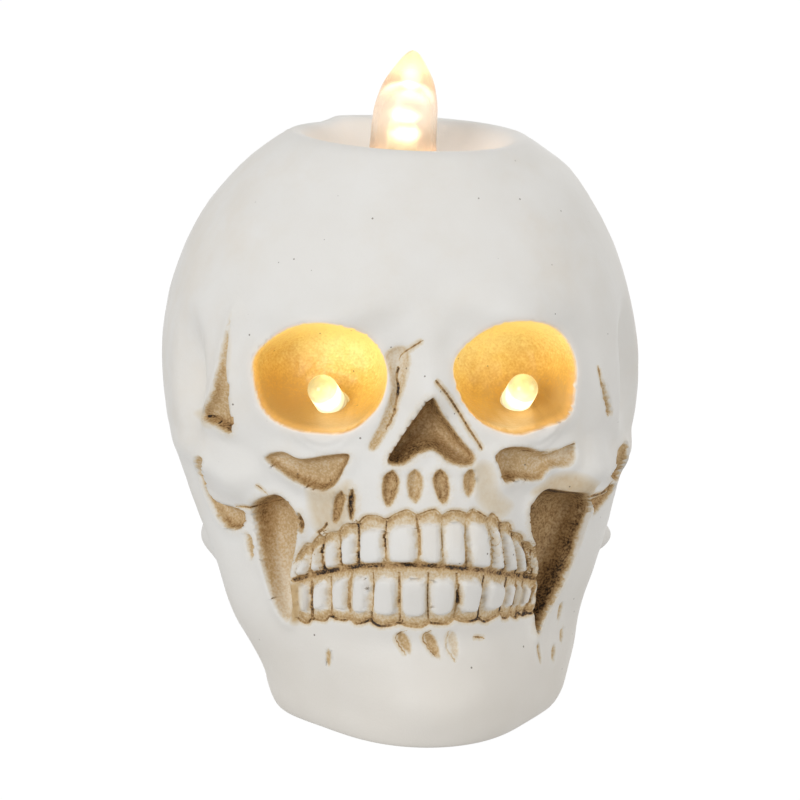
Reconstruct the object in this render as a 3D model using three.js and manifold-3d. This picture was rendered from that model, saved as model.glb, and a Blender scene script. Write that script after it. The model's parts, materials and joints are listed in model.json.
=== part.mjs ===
// A resin skull lantern: an electric flame stands in the dished crown and a lamp shines from each eye.
// The face looks along -Y, the base stands on Z = 0, and all sizes are in millimetres.

import * as THREE from 'three';
import { mergeVertices } from 'three/addons/utils/BufferGeometryUtils.js';
import Module from 'manifold-3d';

const wasm = await Module();
wasm.setup();

// Driving dimensions

const skullWidth = 80.6;
const skullDepth = 92;
const rimHeight = 95.3;
const rimLean = 1; // the left of the rim stands higher than the right
const dishDepth = 6;
const resinWall = 5;
const faceBacking = 15; // the hollow stops this far in front of the middle
const baseEdge = 1.6;
const hollowFloor = 10;
const socketDepth = 12;
const socketWall = 8.6; // how far in from the rim of a socket its floor begins
const socketBowl = 4; // 2 is a round bowl and more is a flatter floor with steeper walls
const toothDepth = 2.5;
const toothStand = 1.5;
const toothGap = 0.3;

const seat = 0.3; // gap between pieces that are glued, soldered or seated
const flameHeight = 20;
const flameRadius = 5.9;
const flameLean = 1.8;
const flameWall = 1.2;
const flangeWidth = 1.7;
const flangeThickness = 1.2;

const ledRadius = 2.5;
const ledLength = 8.6;
const ledFlange = 0.4;
const ledInset = 0.76 * socketDepth; // how far in from the face the socket's floor is under a lamp
const ledSink = 1.6; // how deep a lamp sits below the floor of its socket
const leftLedOut = 30;
const rightLedOut = 15;
const ledUp = 40;
const sleeveLength = 6;
const wireRadius = 0.45;

const moduleY = - 3;
const plateRecess = 1;
const plateThickness = 3;
const plateLip = 1.8;
const moduleWall = 1.2;
const cellDiameter = 20;
const cellThickness = 3.2;
const doorThickness = 1.8;
const doorSeat = 1.4;
const pinLength = 1.6;
const screwRadius = 1;
const screwGrip = 2.6;
const switchLength = 8.6;
const switchWidth = 4;
const switchHeight = 3.6;
const knobLength = 2.4;
const knobWidth = 1.6;
const knobTravel = 2;
const contactThickness = 0.4;
const boardThickness = 1.2;
const chipHeight = 1.5;
const capRoom = 3; // space over the circuit board for the wires to bend

// Solids

const toSolid = ( geometry ) => {

	const bare = geometry.index ? geometry.toNonIndexed() : geometry.clone();
	bare.deleteAttribute( 'normal' );
	bare.deleteAttribute( 'uv' );
	const merged = mergeVertices( bare, 1e-4 );
	const corners = merged.index.array;
	const kept = [];
	for ( let i = 0; i < corners.length; i += 3 ) {

		const [ a, b, c ] = corners.slice( i, i + 3 );
		if ( a !== b && b !== c && c !== a ) kept.push( a, b, c );

	}

	const mesh = new wasm.Mesh( {
		numProp: 3,
		vertProperties: merged.attributes.position.array,
		triVerts: new Uint32Array( kept ),
	} );
	return new wasm.Manifold( mesh );

};

const toGeometry = ( solid ) => {

	const mesh = solid.getMesh();
	const geometry = new THREE.BufferGeometry();
	geometry.setAttribute( 'position', new THREE.BufferAttribute( mesh.vertProperties, 3 ) );
	geometry.setIndex( new THREE.BufferAttribute( mesh.triVerts, 1 ) );
	const faceted = geometry.toNonIndexed();
	faceted.computeVertexNormals();
	return faceted;

};

const join = ( ...geometries ) => toGeometry( geometries.map( toSolid ).reduce( ( a, b ) => a.add( b ) ) );
const cut = ( geometry, ...tools ) => {

	return toGeometry( tools.map( toSolid ).reduce( ( a, b ) => a.subtract( b ), toSolid( geometry ) ) );

};

const box = ( wide, deep, from, to, x = 0, y = 0 ) => {

	return new THREE.BoxGeometry( wide, deep, to - from ).translate( x, y, ( from + to ) / 2 );

};

const disc = ( radius, from, to, x = 0, y = 0, sides = 32 ) => {

	const round = new THREE.CylinderGeometry( radius, radius, to - from, sides ).rotateX( Math.PI / 2 );
	return round.translate( x, y, ( from + to ) / 2 );

};

// Turns a profile of [radius, height] round the Z axis; its outer side runs upwards.
const turned = ( profile, sides = 32 ) => {

	const points = profile.map( ( [ r, z ] ) => new THREE.Vector2( r, z ) );
	return toGeometry( toSolid( new THREE.LatheGeometry( points, sides ).rotateX( Math.PI / 2 ) ) );

};

const tube = ( points, radius, steps, sides = 3 ) => {

	const round = new THREE.Shape();
	round.absarc( 0, 0, radius, 0, 2 * Math.PI );
	const path = new THREE.CatmullRomCurve3( points );
	const options = { steps, curveSegments: sides, bevelEnabled: false, extrudePath: path };
	return new THREE.ExtrudeGeometry( round, options );

};

// The plain head: its half width, front and back against height, all as shares of the full size

const curve = ( stations ) => {

	const shares = stations.map( ( station ) => station[ 0 ] );
	const values = stations.map( ( station ) => station[ 1 ] );
	const line = new THREE.CubicInterpolant( shares, values, 1 );
	return ( share ) => line.evaluate( share )[ 0 ];

};

const sideCurve = curve( [ [ 0, 0.6 ], [ 0.08, 0.65 ], [ 0.21, 0.757 ], [ 0.31, 0.843 ], [ 0.39, 0.915 ],
	[ 0.48, 0.98 ], [ 0.58, 1 ], [ 0.69, 0.975 ], [ 0.77, 0.923 ], [ 0.84, 0.847 ], [ 0.91, 0.74 ],
	[ 0.95, 0.655 ], [ 1, 0.51 ] ] );
const frontCurve = curve( [ [ 0, 0.98 ], [ 0.08, 0.975 ], [ 0.18, 0.93 ], [ 0.31, 0.96 ], [ 0.42, 0.95 ],
	[ 0.5, 0.915 ], [ 0.6, 0.855 ], [ 0.67, 0.81 ], [ 0.73, 0.82 ], [ 0.81, 0.785 ], [ 0.88, 0.71 ],
	[ 0.94, 0.62 ], [ 1, 0.53 ] ] );
const backCurve = curve( [ [ 0, 0.68 ], [ 0.05, 0.745 ], [ 0.13, 0.845 ], [ 0.23, 0.935 ], [ 0.37, 0.99 ],
	[ 0.5, 1 ], [ 0.61, 0.985 ], [ 0.71, 0.925 ], [ 0.82, 0.8 ], [ 0.9, 0.65 ], [ 0.95, 0.52 ], [ 1, 0.37 ] ] );
const pinchCurve = curve( [ [ 0, 0.1 ], [ 0.16, 0.13 ], [ 0.31, 0.16 ], [ 0.42, 0.1 ], [ 0.5, 0.02 ],
	[ 0.63, - 0.03 ], [ 0.8, - 0.03 ], [ 1, 0 ] ] );
const backPinch = - 0.03;
// The hand-made casting isn't even: its chin and its rim lie a little to one side
const asideCurve = curve( [ [ 0, 0 ], [ 0.05, 0.03 ], [ 0.1, 0.025 ], [ 0.17, - 0.006 ], [ 0.26, 0 ],
	[ 0.45, 0.005 ], [ 0.86, 0 ], [ 0.95, 0.015 ], [ 1, 0.025 ] ] );

const halfWidth = skullWidth / 2;
const halfDepth = skullDepth / 2;
const dishY = ( backCurve( 1 ) - frontCurve( 1 ) ) * halfDepth / 2;
const jawY = - 0.3 * halfDepth; // the jaw is widest in front of the middle
const radians = THREE.MathUtils.degToRad;
const smooth = THREE.MathUtils.smoothstep;

// A point of the plain head; the angle runs from the front towards +X.
function plainPoint( angle, share, inset = 0 ) {

	const sin = Math.sin( angle );
	const cos = Math.cos( angle );
	const middle = dishY * smooth( share, 0.7, 1 ) + jawY * ( 1 - smooth( share, 0.2, 0.5 ) );
	const side = sideCurve( share ) * halfWidth;
	const reach = cos > 0 ? frontCurve( share ) * halfDepth + middle : backCurve( share ) * halfDepth - middle;
	const pinch = 1 - ( cos > 0 ? pinchCurve( share ) : backPinch ) * Math.sin( 2 * angle ) ** 2;
	const radius = pinch / Math.hypot( sin / side, cos / reach ) - inset;
	return new THREE.Vector3( radius * sin, middle - radius * cos, share * rimHeight );

}

// Soft swellings and dips, each facing a way turned from the front. The place and the half sizes are shares
// of the head's; a side is -1 or 1, and rise is less than nothing for a dip.
const both = [ - 1, 1 ];
const forms = [
	{ name: 'brow', sides: both, x: 0.36, z: 0.75, wide: 0.36, high: 0.06, tilt: - 8, turn: 0, rise: 0.065 },
	{ name: 'glabella', sides: [ 1 ], x: 0, z: 0.71, wide: 0.2, high: 0.06, turn: 0, rise: 0.02 },
	{ name: 'bridge', sides: [ 1 ], x: 0.015, z: 0.63, wide: 0.15, high: 0.1, turn: 0, rise: 0.09 },
	{ name: 'cheek', sides: both, x: 0.32, z: 0.475, wide: 0.3, high: 0.07, turn: 35, rise: 0.08 },
	{ name: 'left arch', sides: [ - 1 ], x: - 0.3, z: 0.46, wide: 0.45, high: 0.045, turn: 85, rise: 0.025 },
	{ name: 'right arch', sides: [ 1 ], x: - 0.3, z: 0.435, wide: 0.45, high: 0.045, turn: 85, rise: 0.03 },
	{ name: 'temple', sides: both, x: 0.08, z: 0.6, wide: 0.18, high: 0.14, turn: 62, rise: - 0.085 },
	{ name: 'left mastoid', sides: [ - 1 ], x: 0.22, z: 0.255, wide: 0.42, high: 0.055, turn: 90, rise: 0.06 },
	{ name: 'right mastoid', sides: [ 1 ], x: 0.22, z: 0.242, wide: 0.42, high: 0.055, turn: 90, rise: 0.155 },
	{ name: 'neck', sides: both, x: 0.4, z: 0.17, wide: 0.45, high: 0.065, turn: 90, rise: - 0.04 },
	{ name: 'mouth', sides: [ 1 ], x: 0, z: 0.32, wide: 0.52, high: 0.14, turn: 0, rise: 0.03 },
	{ name: 'chin', sides: [ 1 ], x: 0, z: 0.075, wide: 0.4, high: 0.07, turn: 0, rise: 0.025 },
	{ name: 'under lip', sides: [ 1 ], x: 0, z: 0.175, wide: 0.5, high: 0.045, turn: 0, rise: - 0.02 },
];

function sculpt( plain ) {

	const moved = plain.clone();
	for ( const form of forms ) {

		const turn = radians( form.turn );
		const tilt = radians( form.tilt ?? 0 );
		for ( const side of form.sides ) {

			const x = side * plain.x;
			if ( x * Math.sin( turn ) < plain.y * Math.cos( turn ) ) continue;
			const across = x * Math.cos( turn ) + plain.y * Math.sin( turn ) - form.x * halfWidth;
			const up = plain.z - form.z * rimHeight;
			const u = ( across * Math.cos( tilt ) + up * Math.sin( tilt ) ) / ( form.wide * halfWidth );
			const v = ( up * Math.cos( tilt ) - across * Math.sin( tilt ) ) / ( form.high * rimHeight );
			const rise = form.rise * halfDepth * ( 1 - smooth( Math.hypot( u, v ), 0, 1 ) );
			moved.x += side * Math.sin( turn ) * rise;
			moved.y -= Math.cos( turn ) * rise;

		}

	}

	moved.z -= rimLean * plain.x / halfWidth * 2 * smooth( plain.z / rimHeight, 0.92, 1 );
	moved.x += asideCurve( plain.z / rimHeight ) * halfWidth;
	return moved;

}

const facePoint = ( angle, share ) => sculpt( plainPoint( angle, share ) );

// The angle at which the face lies straight behind a spot of a plane that is turned from the front.
function angleBehind( turn, across, share ) {

	let low = turn - Math.PI / 2;
	let high = turn + Math.PI / 2;
	for ( let i = 0; i < 30; i ++ ) {

		const middle = ( low + high ) / 2;
		const spot = facePoint( middle, share );
		if ( spot.x * Math.cos( turn ) + spot.y * Math.sin( turn ) < across ) low = middle;
		else high = middle;

	}

	return low;

}

// Rows of a lathe, each vertex moved to its place; columns lie closer at the front by the crowding.
function loft( rows, columns, crowding, place ) {

	const last = rows.length - 1;
	const profile = rows.map( ( row, i ) => new THREE.Vector2( i % last === 0 ? 0 : 1, i ) );
	const geometry = new THREE.LatheGeometry( profile, columns );
	const position = geometry.attributes.position;
	for ( let i = 0; i < position.count; i ++ ) {

		const turn = 2 * Math.PI * Math.floor( i / rows.length ) / columns;
		const spot = place( turn - crowding * Math.sin( turn ), rows[ i % rows.length ] );
		position.setXYZ( i, spot.x, spot.y, spot.z );

	}

	return geometry;

}

// Skull casting

const spread = ( from, to, count ) => {

	return Array.from( { length: count }, ( _, i ) => from + ( to - from ) * i / count );

};

const edgeShare = baseEdge / rimHeight;
const wallRows = [ ...spread( edgeShare, 0.13, 4 ), ...spread( 0.13, 0.78, 19 ),
	...spread( 0.78, 0.985, 5 ), 0.985 ];
const headRows = [
	{ centre: true, share: 0, drop: 0 },
	{ share: 0, inset: baseEdge },
	{ share: 0.3 * edgeShare, inset: 0.3 * baseEdge },
	...wallRows.map( ( share ) => ( { share, inset: 0 } ) ),
	{ reach: 0.97, drop: 0 }, { reach: 0.88, drop: 0.04 }, { reach: 0.79, drop: 0.28 },
	{ reach: 0.69, drop: 0.58 }, { reach: 0.56, drop: 0.83 }, { reach: 0.42, drop: 1 },
	{ centre: true, share: 1, drop: 1 },
];

const head = loft( headRows, 50, 0.4, ( angle, row ) => {

	const drop = row.drop * dishDepth;
	if ( row.centre ) return new THREE.Vector3( 0, row.share * dishY, row.share * rimHeight - drop );
	if ( ! row.reach ) return sculpt( plainPoint( angle, row.share, row.inset ) );
	const spot = sculpt( plainPoint( angle, 1 ) );
	const lean = ( spot.z - rimHeight ) * row.reach;
	return new THREE.Vector3( spot.x * row.reach, dishY + ( spot.y - dishY ) * row.reach,
		rimHeight + lean - drop );

} );

const dishFloor = rimHeight - dishDepth;
const ceiling = dishFloor - resinWall;
const hollowRows = [ { centre: true, z: hollowFloor },
	...spread( hollowFloor, ceiling, 7 ).map( ( z ) => ( { z } ) ),
	{ z: ceiling }, { centre: true, z: ceiling } ];

const hollow = loft( hollowRows, 24, 0, ( angle, row ) => {

	if ( row.centre ) return new THREE.Vector3( 0, 0, row.z );
	const spot = plainPoint( angle, row.z / rimHeight );
	const radius = Math.hypot( spot.x, spot.y );
	const limit = spot.y < 0 ? faceBacking * radius / - spot.y : radius;
	const kept = Math.min( radius - resinWall, limit ) / radius;
	return new THREE.Vector3( spot.x * kept, spot.y * kept, row.z );

} );

// The face is drawn on planes turned from the front, in millimetres on a head of this width and height, and
// the drawing follows the head's own size.
const drawnWidth = 80;
const drawnHeight = 95;
const drawn = ( [ across, up ] ) => {

	return new THREE.Vector3( across * skullWidth / drawnWidth, 0, up * rimHeight / drawnHeight );

};

// The point that lies behind a spot of the drawing, and further in than the face by a distance.
function behind( turn, spot, inward ) {

	const share = spot.z / rimHeight;
	const point = facePoint( angleBehind( turn, spot.x, share ), share );
	point.x -= Math.sin( turn ) * inward;
	point.y += Math.cos( turn ) * inward;
	return point;

}

// Crisp hollows: which way each faces, its depth, the width of its wall and the shape of its bowl, which way
// it gets deeper and by what share, and its rim from the drawing, clockwise
const hollows = {
	socketLeft: { turn: - 14, depth: socketDepth, wall: socketWall, bowl: socketBowl, outline: [
		[ - 19, 62.5 ], [ - 16.5, 65.5 ], [ - 12, 68.5 ], [ - 7, 69.6 ], [ - 2, 68.5 ], [ 1.2, 66.2 ],
		[ 3.2, 62 ], [ 3, 58 ], [ 1.2, 54.8 ], [ - 2.5, 52 ], [ - 8, 51.4 ], [ - 14, 52.3 ],
		[ - 17.5, 54.8 ], [ - 18.9, 59 ] ] },
	socketRight: { turn: 14, depth: socketDepth, wall: socketWall, bowl: socketBowl, outline: [
		[ - 5, 62.3 ], [ - 2.5, 65.5 ], [ 1.5, 68.5 ], [ 6, 69.4 ], [ 11.5, 68 ], [ 15.5, 65 ],
		[ 17.3, 61 ], [ 16.8, 56.5 ], [ 15.5, 52.8 ], [ 11, 51.4 ], [ 5, 50.8 ], [ 0, 52.5 ],
		[ - 2.8, 55.2 ], [ - 4.5, 59 ] ] },
	nose: { turn: 0, depth: 6, wall: 2.2, way: 150, more: 0.25, outline: [
		[ 0.6, 58 ], [ 2.7, 55 ], [ 5.5, 51 ], [ 8, 47.7 ], [ 6.5, 46.3 ], [ 3.5, 47 ], [ 1, 49 ],
		[ - 1.5, 48.4 ], [ - 4, 46.8 ], [ - 6.5, 47.3 ], [ - 5, 50 ], [ - 2.3, 53.8 ] ] },
	cheekLeft: { turn: - 20, depth: 2.8, wall: 1.3, way: - 60, more: 0.4, outline: [
		[ - 13.3, 46.2 ], [ - 10, 47.9 ], [ - 6.5, 47 ], [ - 2, 48 ], [ 2, 48.4 ], [ 1.2, 45.8 ],
		[ - 0.5, 43 ], [ - 3, 41.6 ], [ - 7, 42.3 ], [ - 10.5, 44 ] ] },
	cheekRight: { turn: 20, depth: 2.6, wall: 1.3, way: - 140, more: 0.4, outline: [
		[ - 3.1, 48 ], [ - 1, 49 ], [ 3, 48.6 ], [ 7, 47 ], [ 12.3, 47.7 ], [ 13, 45.5 ], [ 11.5, 43.8 ],
		[ 8, 44 ], [ 6, 42.4 ], [ 3, 42.7 ], [ 1, 43.2 ], [ - 1.5, 43 ], [ - 2.7, 45.5 ] ] },
	underArchLeft: { turn: - 50, depth: 2.6, wall: 1.2, way: 90, more: 0.4, outline: [
		[ - 7.9, 35.6 ], [ - 5, 35.8 ], [ 0, 36.3 ], [ 0.6, 35.3 ], [ - 1.2, 32.4 ], [ - 4, 32 ],
		[ - 6.8, 33.8 ] ] },
	underArchRight: { turn: 55, depth: 2.2, wall: 1.2, way: 90, more: 0.3, outline: [
		[ - 2, 36 ], [ 1, 36.2 ], [ 5.4, 36.8 ], [ 3.5, 35 ], [ 0.5, 33.9 ], [ - 0.6, 32.8 ] ] },
	jawLeft: { turn: - 34, depth: 6, wall: 2, way: 80, more: 0.65, outline: [
		[ - 8.2, 36 ], [ - 6, 38.6 ], [ - 2.5, 39.9 ], [ 0, 38.5 ], [ 1.6, 36.5 ], [ 0.5, 31.5 ],
		[ - 0.9, 26 ], [ - 0.4, 21 ], [ - 1.5, 18 ], [ - 3.5, 19.3 ], [ - 5.5, 23.7 ], [ - 7.4, 29.5 ] ] },
	jawRight: { turn: 34, depth: 7, wall: 2.2, way: 150, more: 0.3, outline: [
		[ - 5.2, 36 ], [ - 5.3, 38.2 ], [ - 2.5, 40.5 ], [ 3, 39.6 ], [ 9, 38 ], [ 12, 34.8 ], [ 10.5, 31 ],
		[ 7.5, 26.5 ], [ 4, 21.5 ], [ 0.7, 17.2 ], [ - 0.7, 15.2 ], [ - 1.7, 19 ], [ - 1.2, 25 ],
		[ - 1.8, 30 ], [ - 4, 32.8 ] ] },
	templeLeft: { turn: - 50, depth: 3.4, wall: 1.1, way: - 40, more: 0.75, outline: [
		[ 0.3, 70 ], [ 0.9, 67.5 ], [ - 0.2, 62.8 ], [ 0.8, 58 ], [ 1.6, 53 ], [ 1.5, 50.9 ],
		[ - 0.2, 49.2 ], [ - 4, 50.2 ], [ - 4.6, 52.5 ], [ - 2.8, 57 ], [ - 1.9, 62 ], [ - 0.6, 67 ] ] },
};

function hollowCutter( { turn, depth, wall, bowl = 2, way = 0, more = 0, outline } ) {

	const corners = outline.map( drawn );
	const rim = new THREE.CatmullRomCurve3( corners, true, 'catmullrom' );
	const centre = corners.reduce( ( sum, corner ) => sum.add( corner ), new THREE.Vector3() );
	centre.divideScalar( corners.length );
	const deeper = new THREE.Vector3( Math.cos( radians( way ) ), 0, Math.sin( radians( way ) ) );
	const reaches = corners.map( ( corner ) => corner.dot( deeper ) );
	const [ least, most ] = [ Math.min( ...reaches ), Math.max( ...reaches ) ];
	const rows = [ { centre: true, step: - 0.2 }, ...[ - 0.2, 0.15, 0.45, 1 ].map( ( step ) => ( { step } ) ),
		{ centre: true, step: 1 } ];
	return loft( rows, 2 * outline.length, 0, ( angle, row ) => {

		const spot = rim.getPoint( angle / ( 2 * Math.PI ) % 1 );
		const kept = Math.max( 0.2, 1 - row.step * wall / spot.distanceTo( centre ) );
		spot.lerpVectors( centre, spot, row.centre ? 0 : kept );
		const full = depth * ( 1 - more * ( most - spot.dot( deeper ) ) / ( most - least ) );
		const below = full * ( 1 - ( 1 - row.step ) ** bowl );
		const above = Math.min( row.step * bowl * full, - 0.8 );
		return behind( radians( turn ), spot, row.step < 0 ? above : below );

	} );

}

// Teeth: each stands between two lines of the drawing, which run from the gum to the bite
const upperLines = [
	[ [ - 20, 28.6 ], [ - 20.4, 25.3 ] ], [ [ - 18.1, 31.8 ], [ - 18.4, 26.5 ] ],
	[ [ - 16.4, 33.3 ], [ - 16.3, 27.7 ] ], [ [ - 14.2, 34.9 ], [ - 13.9, 28.8 ] ],
	[ [ - 11.3, 37 ], [ - 11.4, 29.8 ] ], [ [ - 6.8, 38.1 ], [ - 6.8, 30.7 ] ],
	[ [ - 2, 39 ], [ - 1.8, 31.1 ] ], [ [ 2.2, 38.9 ], [ 2.4, 30.6 ] ], [ [ 6.4, 38.8 ], [ 6.6, 29.9 ] ],
	[ [ 10.2, 37.6 ], [ 11.1, 28.6 ] ], [ [ 12.4, 36.2 ], [ 13.5, 27.6 ] ],
	[ [ 14.6, 34.3 ], [ 16, 26.6 ] ], [ [ 16.8, 31.6 ], [ 17.8, 25.7 ] ],
	[ [ 18.3, 30.1 ], [ 18.7, 25.4 ] ], [ [ 19.6, 28.4 ], [ 19.3, 24.7 ] ]
];
const lowerLines = [
	[ [ - 19.8, 18.8 ], [ - 20.4, 25.3 ] ], [ [ - 18.1, 19.1 ], [ - 18.1, 25.4 ] ],
	[ [ - 15.2, 20.3 ], [ - 15.4, 26.8 ] ], [ [ - 12.2, 20.3 ], [ - 12.3, 28.4 ] ],
	[ [ - 9.1, 20.6 ], [ - 9.1, 28.9 ] ], [ [ - 4.6, 20.6 ], [ - 4.9, 29.3 ] ],
	[ [ 0.2, 20.6 ], [ - 0.1, 29.4 ] ], [ [ 4.6, 21 ], [ 4.8, 28.9 ] ], [ [ 8.9, 20.3 ], [ 9.7, 27.7 ] ],
	[ [ 12.8, 20.3 ], [ 14.1, 26.1 ] ], [ [ 14.7, 19.7 ], [ 16, 25.2 ] ],
	[ [ 16.2, 19.5 ], [ 17.4, 24.6 ] ], [ [ 17.5, 19.5 ], [ 18.9, 23.9 ] ],
	[ [ 18.8, 19.4 ], [ 19.3, 24.7 ] ]
];

function tooth( [ gumLeft, biteLeft ], [ gumRight, biteRight ] ) {

	const below = gumLeft[ 1 ] < biteLeft[ 1 ];
	const ends = below ? [ biteLeft, biteRight, gumLeft, gumRight ] : [ gumLeft, gumRight, biteLeft, biteRight ];
	const [ topLeft, topRight, footLeft, footRight ] = ends.map( drawn );
	const trim = 1 - toothGap / topLeft.distanceTo( topRight );
	const rows = [ { reach: 0, out: toothStand }, { reach: 0.7, out: 0.9 * toothStand },
		{ reach: 1, out: 0.3 * toothStand }, { reach: 1, out: - toothDepth }, { reach: 0, out: - toothDepth } ];
	return loft( rows, 8, 0, ( angle, row ) => {

		const squared = ( wave ) => Math.sign( wave ) * Math.sqrt( Math.abs( wave ) ) * row.reach * trim;
		const across = ( 1 + squared( Math.sin( angle ) ) ) / 2;
		const down = ( 1 - squared( Math.cos( angle ) ) ) / 2;
		const top = new THREE.Vector3().lerpVectors( topLeft, topRight, across );
		const foot = new THREE.Vector3().lerpVectors( footLeft, footRight, across );
		return behind( 0, top.lerp( foot, down ), - row.out );

	} );

}

const teeth = [ upperLines, lowerLines ].flatMap( ( lines ) => {

	return lines.slice( 1 ).map( ( line, i ) => tooth( lines[ i ], line ) );

} );

// Eye lamps: each leaves the floor of its socket outwards and up, from a spot of the drawing
function lamp( turn, out, spot ) {

	const level = Math.cos( radians( ledUp ) );
	const axis = new THREE.Vector3( Math.sin( radians( out ) ) * level, - Math.cos( radians( out ) ) * level,
		Math.sin( radians( ledUp ) ) );
	const group = new THREE.Group();
	group.position.copy( behind( radians( turn ), drawn( spot ), ledInset ) ).addScaledVector( axis, - ledSink );
	group.quaternion.setFromUnitVectors( new THREE.Vector3( 0, 0, 1 ), axis );
	group.updateMatrix();
	return group;

}

const leftLamp = lamp( hollows.socketLeft.turn, - leftLedOut, [ - 7, 54.4 ] );
const rightLamp = lamp( hollows.socketRight.turn, rightLedOut, [ 9, 53.8 ] );
const ledWidest = ledRadius + ledFlange;
const boreRadius = ledWidest + seat;
const boreLength = 2.8 * ledLength;
const lampBore = ( group ) => {

	return disc( boreRadius, - boreLength, 0.7 * ledLength, 0, 0, 16 ).applyMatrix4( group.matrix );

};

// Levels and sizes of the lamp module in the base, each from the pieces inside it
const wellRadius = cellDiameter / 2 + 0.4;
const wellOuter = wellRadius + moduleWall;
const pocketRadius = wellOuter + ( switchWidth + 2.6 ) / 2;
const wellX = wellOuter + 0.6 - pocketRadius;
const switchX = wellX + wellOuter + 0.6 + switchWidth / 2;
const spigotRadius = pocketRadius + 1;
const spigotHeight = 2.5;
const capRadius = spigotRadius + seat + moduleWall;
const plateRadius = capRadius + plateLip;
const plateTop = plateRecess + plateThickness;
const doorTop = plateRecess + doorThickness;
const lowerCell = doorTop + seat;
const upperCell = lowerCell + cellThickness + seat;
const negativeLevel = upperCell + cellThickness + seat;
const wellRoof = negativeLevel + contactThickness + seat;
const wellTop = wellRoof + moduleWall;
const boardLevel = wellTop + seat;
const boardTop = boardLevel + boardThickness;
const capCeiling = boardTop + chipHeight + capRoom;
const capTop = capCeiling + moduleWall;
const wireHole = 8.4 * wireRadius;

const flameHole = flameRadius + seat;
const casting = cut( join( cut( head, ...Object.values( hollows ).map( hollowCutter ) ), ...teeth ),
	hollow,
	disc( plateRadius + seat, - 1, plateTop + seat, 0, moduleY ),
	disc( capRadius + seat, 0, capTop + seat, 0, moduleY ),
	disc( flameHole, ceiling - 1, rimHeight, 0, dishY, 28 ),
	lampBore( leftLamp ), lampBore( rightLamp ) );

const resin = { color: 0xdcdad4, roughness: 0.75 };
const clear = { color: 0xfff0cf, roughness: 0.15 };
const blackPlastic = { color: 0x1c1c1e, roughness: 0.55 };
const greyPlastic = { color: 0x8d8f92, roughness: 0.5 };
const steel = { color: 0xb9bcc0, roughness: 0.3, metalness: 1 };
const brass = { color: 0xc9a85a, roughness: 0.35, metalness: 1 };
const fibreBoard = { color: 0x2f6b3a, roughness: 0.6 };
const resistorBody = { color: 0xd2b48c, roughness: 0.6 };
const redCover = { color: 0xb3201c, roughness: 0.6 };
const blackCover = { color: 0x18181a, roughness: 0.6 };

const lantern = new THREE.Group();
const add = ( parent, name, geometry, look ) => {

	const mesh = new THREE.Mesh( geometry, new THREE.MeshStandardMaterial( look ) );
	mesh.name = name;
	parent.add( mesh );

};

add( lantern, 'skull_casting', casting, resin );

// Flame: a hollow lens standing in the dish, its flange caught under the dish by a holder that carries a lamp
const flame = new THREE.Group();
flame.position.set( 0, dishY, 0 );
lantern.add( flame );

const flangeTop = ceiling - seat;
const flangeBottom = flangeTop - flangeThickness;
const flangeRadius = flameRadius + flangeWidth;
const flameInner = flameRadius - flameWall;
const flameLedBase = dishFloor + 0.5;
const flameOuterLine = [ [ 1, 0 ], [ 1, 0.25 ], [ 0.96, 0.48 ], [ 0.85, 0.585 ], [ 0.76, 0.675 ],
	[ 0.68, 0.76 ], [ 0.48, 0.85 ], [ 0.29, 0.935 ], [ 0.12, 0.985 ], [ 0, 1 ] ];
const flameInnerLine = [ [ 0, 0.72 ], [ 0.4, 0.69 ], [ 0.7, 0.6 ], [ 0.9, 0.48 ], [ 1, 0.25 ] ];
const onFlame = ( radius ) => ( [ r, h ] ) => [ r * radius, dishFloor + h * flameHeight ];
const flameLens = turned( [ ...flameInnerLine.map( onFlame( flameInner ) ), [ flameInner, flangeBottom ],
	[ flangeRadius, flangeBottom ], [ flangeRadius, flangeTop ], [ flameRadius, flangeTop ],
	...flameOuterLine.map( onFlame( flameRadius ) ) ], 24 );
const lensPosition = flameLens.attributes.position;
for ( let i = 0; i < lensPosition.count; i ++ ) {

	const rise = Math.max( 0, lensPosition.getZ( i ) - dishFloor ) / flameHeight;
	lensPosition.setX( i, lensPosition.getX( i ) + flameLean * rise ** 2 );

}

flameLens.computeVertexNormals();
add( flame, 'flame_lens', flameLens, clear );

const led = ( base ) => {

	const shoulder = base + ledLength - ledRadius;
	const dome = [ 0, 30, 60, 90 ].map( ( a ) => [ ledRadius * Math.cos( radians( a ) ),
		shoulder + ledRadius * Math.sin( radians( a ) ) ] );
	dome[ 3 ][ 0 ] = 0;
	return turned( [ [ 0, base ], [ ledWidest, base ], [ ledWidest, base + 1 ], [ ledRadius, base + 1 ],
		...dome ], 16 );

};

add( flame, 'flame_led', led( flameLedBase ), clear );

const holderWall = 1.3;
const holderFloor = flangeBottom - seat;
const holderBase = 3;
const holderBottom = holderFloor - holderBase;
const cupRadius = flangeRadius + seat;
const spigot = flameInner - seat;
const holderBore = ledRadius - 0.8;
add( flame, 'flame_holder', turned( [ [ holderBore, holderBottom ], [ cupRadius + holderWall, holderBottom ],
	[ cupRadius + holderWall, flangeTop ], [ cupRadius, flangeTop ], [ cupRadius, holderFloor ],
	[ spigot, holderFloor ], [ spigot, flameLedBase - seat ], [ holderBore, flameLedBase - seat ],
	[ holderBore, holderBottom ] ], 24 ), blackPlastic );

// Eye lamps, each in a sleeve at the mouth of its bore
const sleeve = [ [ ledRadius - 0.5, - seat - sleeveLength ], [ ledWidest, - seat - sleeveLength ],
	[ ledWidest, - seat ], [ ledRadius - 0.5, - seat ], [ ledRadius - 0.5, - seat - sleeveLength ] ];
for ( const [ side, group ] of [ [ 'left', leftLamp ], [ 'right', rightLamp ] ] ) {

	lantern.add( group );
	add( group, `eye_led_${ side }`, led( 0 ), clear );
	add( group, `led_sleeve_${ side }`, turned( sleeve, 16 ), blackPlastic );

}

// Lamp module
const module = new THREE.Group();
module.position.set( 0, moduleY, 0 );
lantern.add( module );

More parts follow.
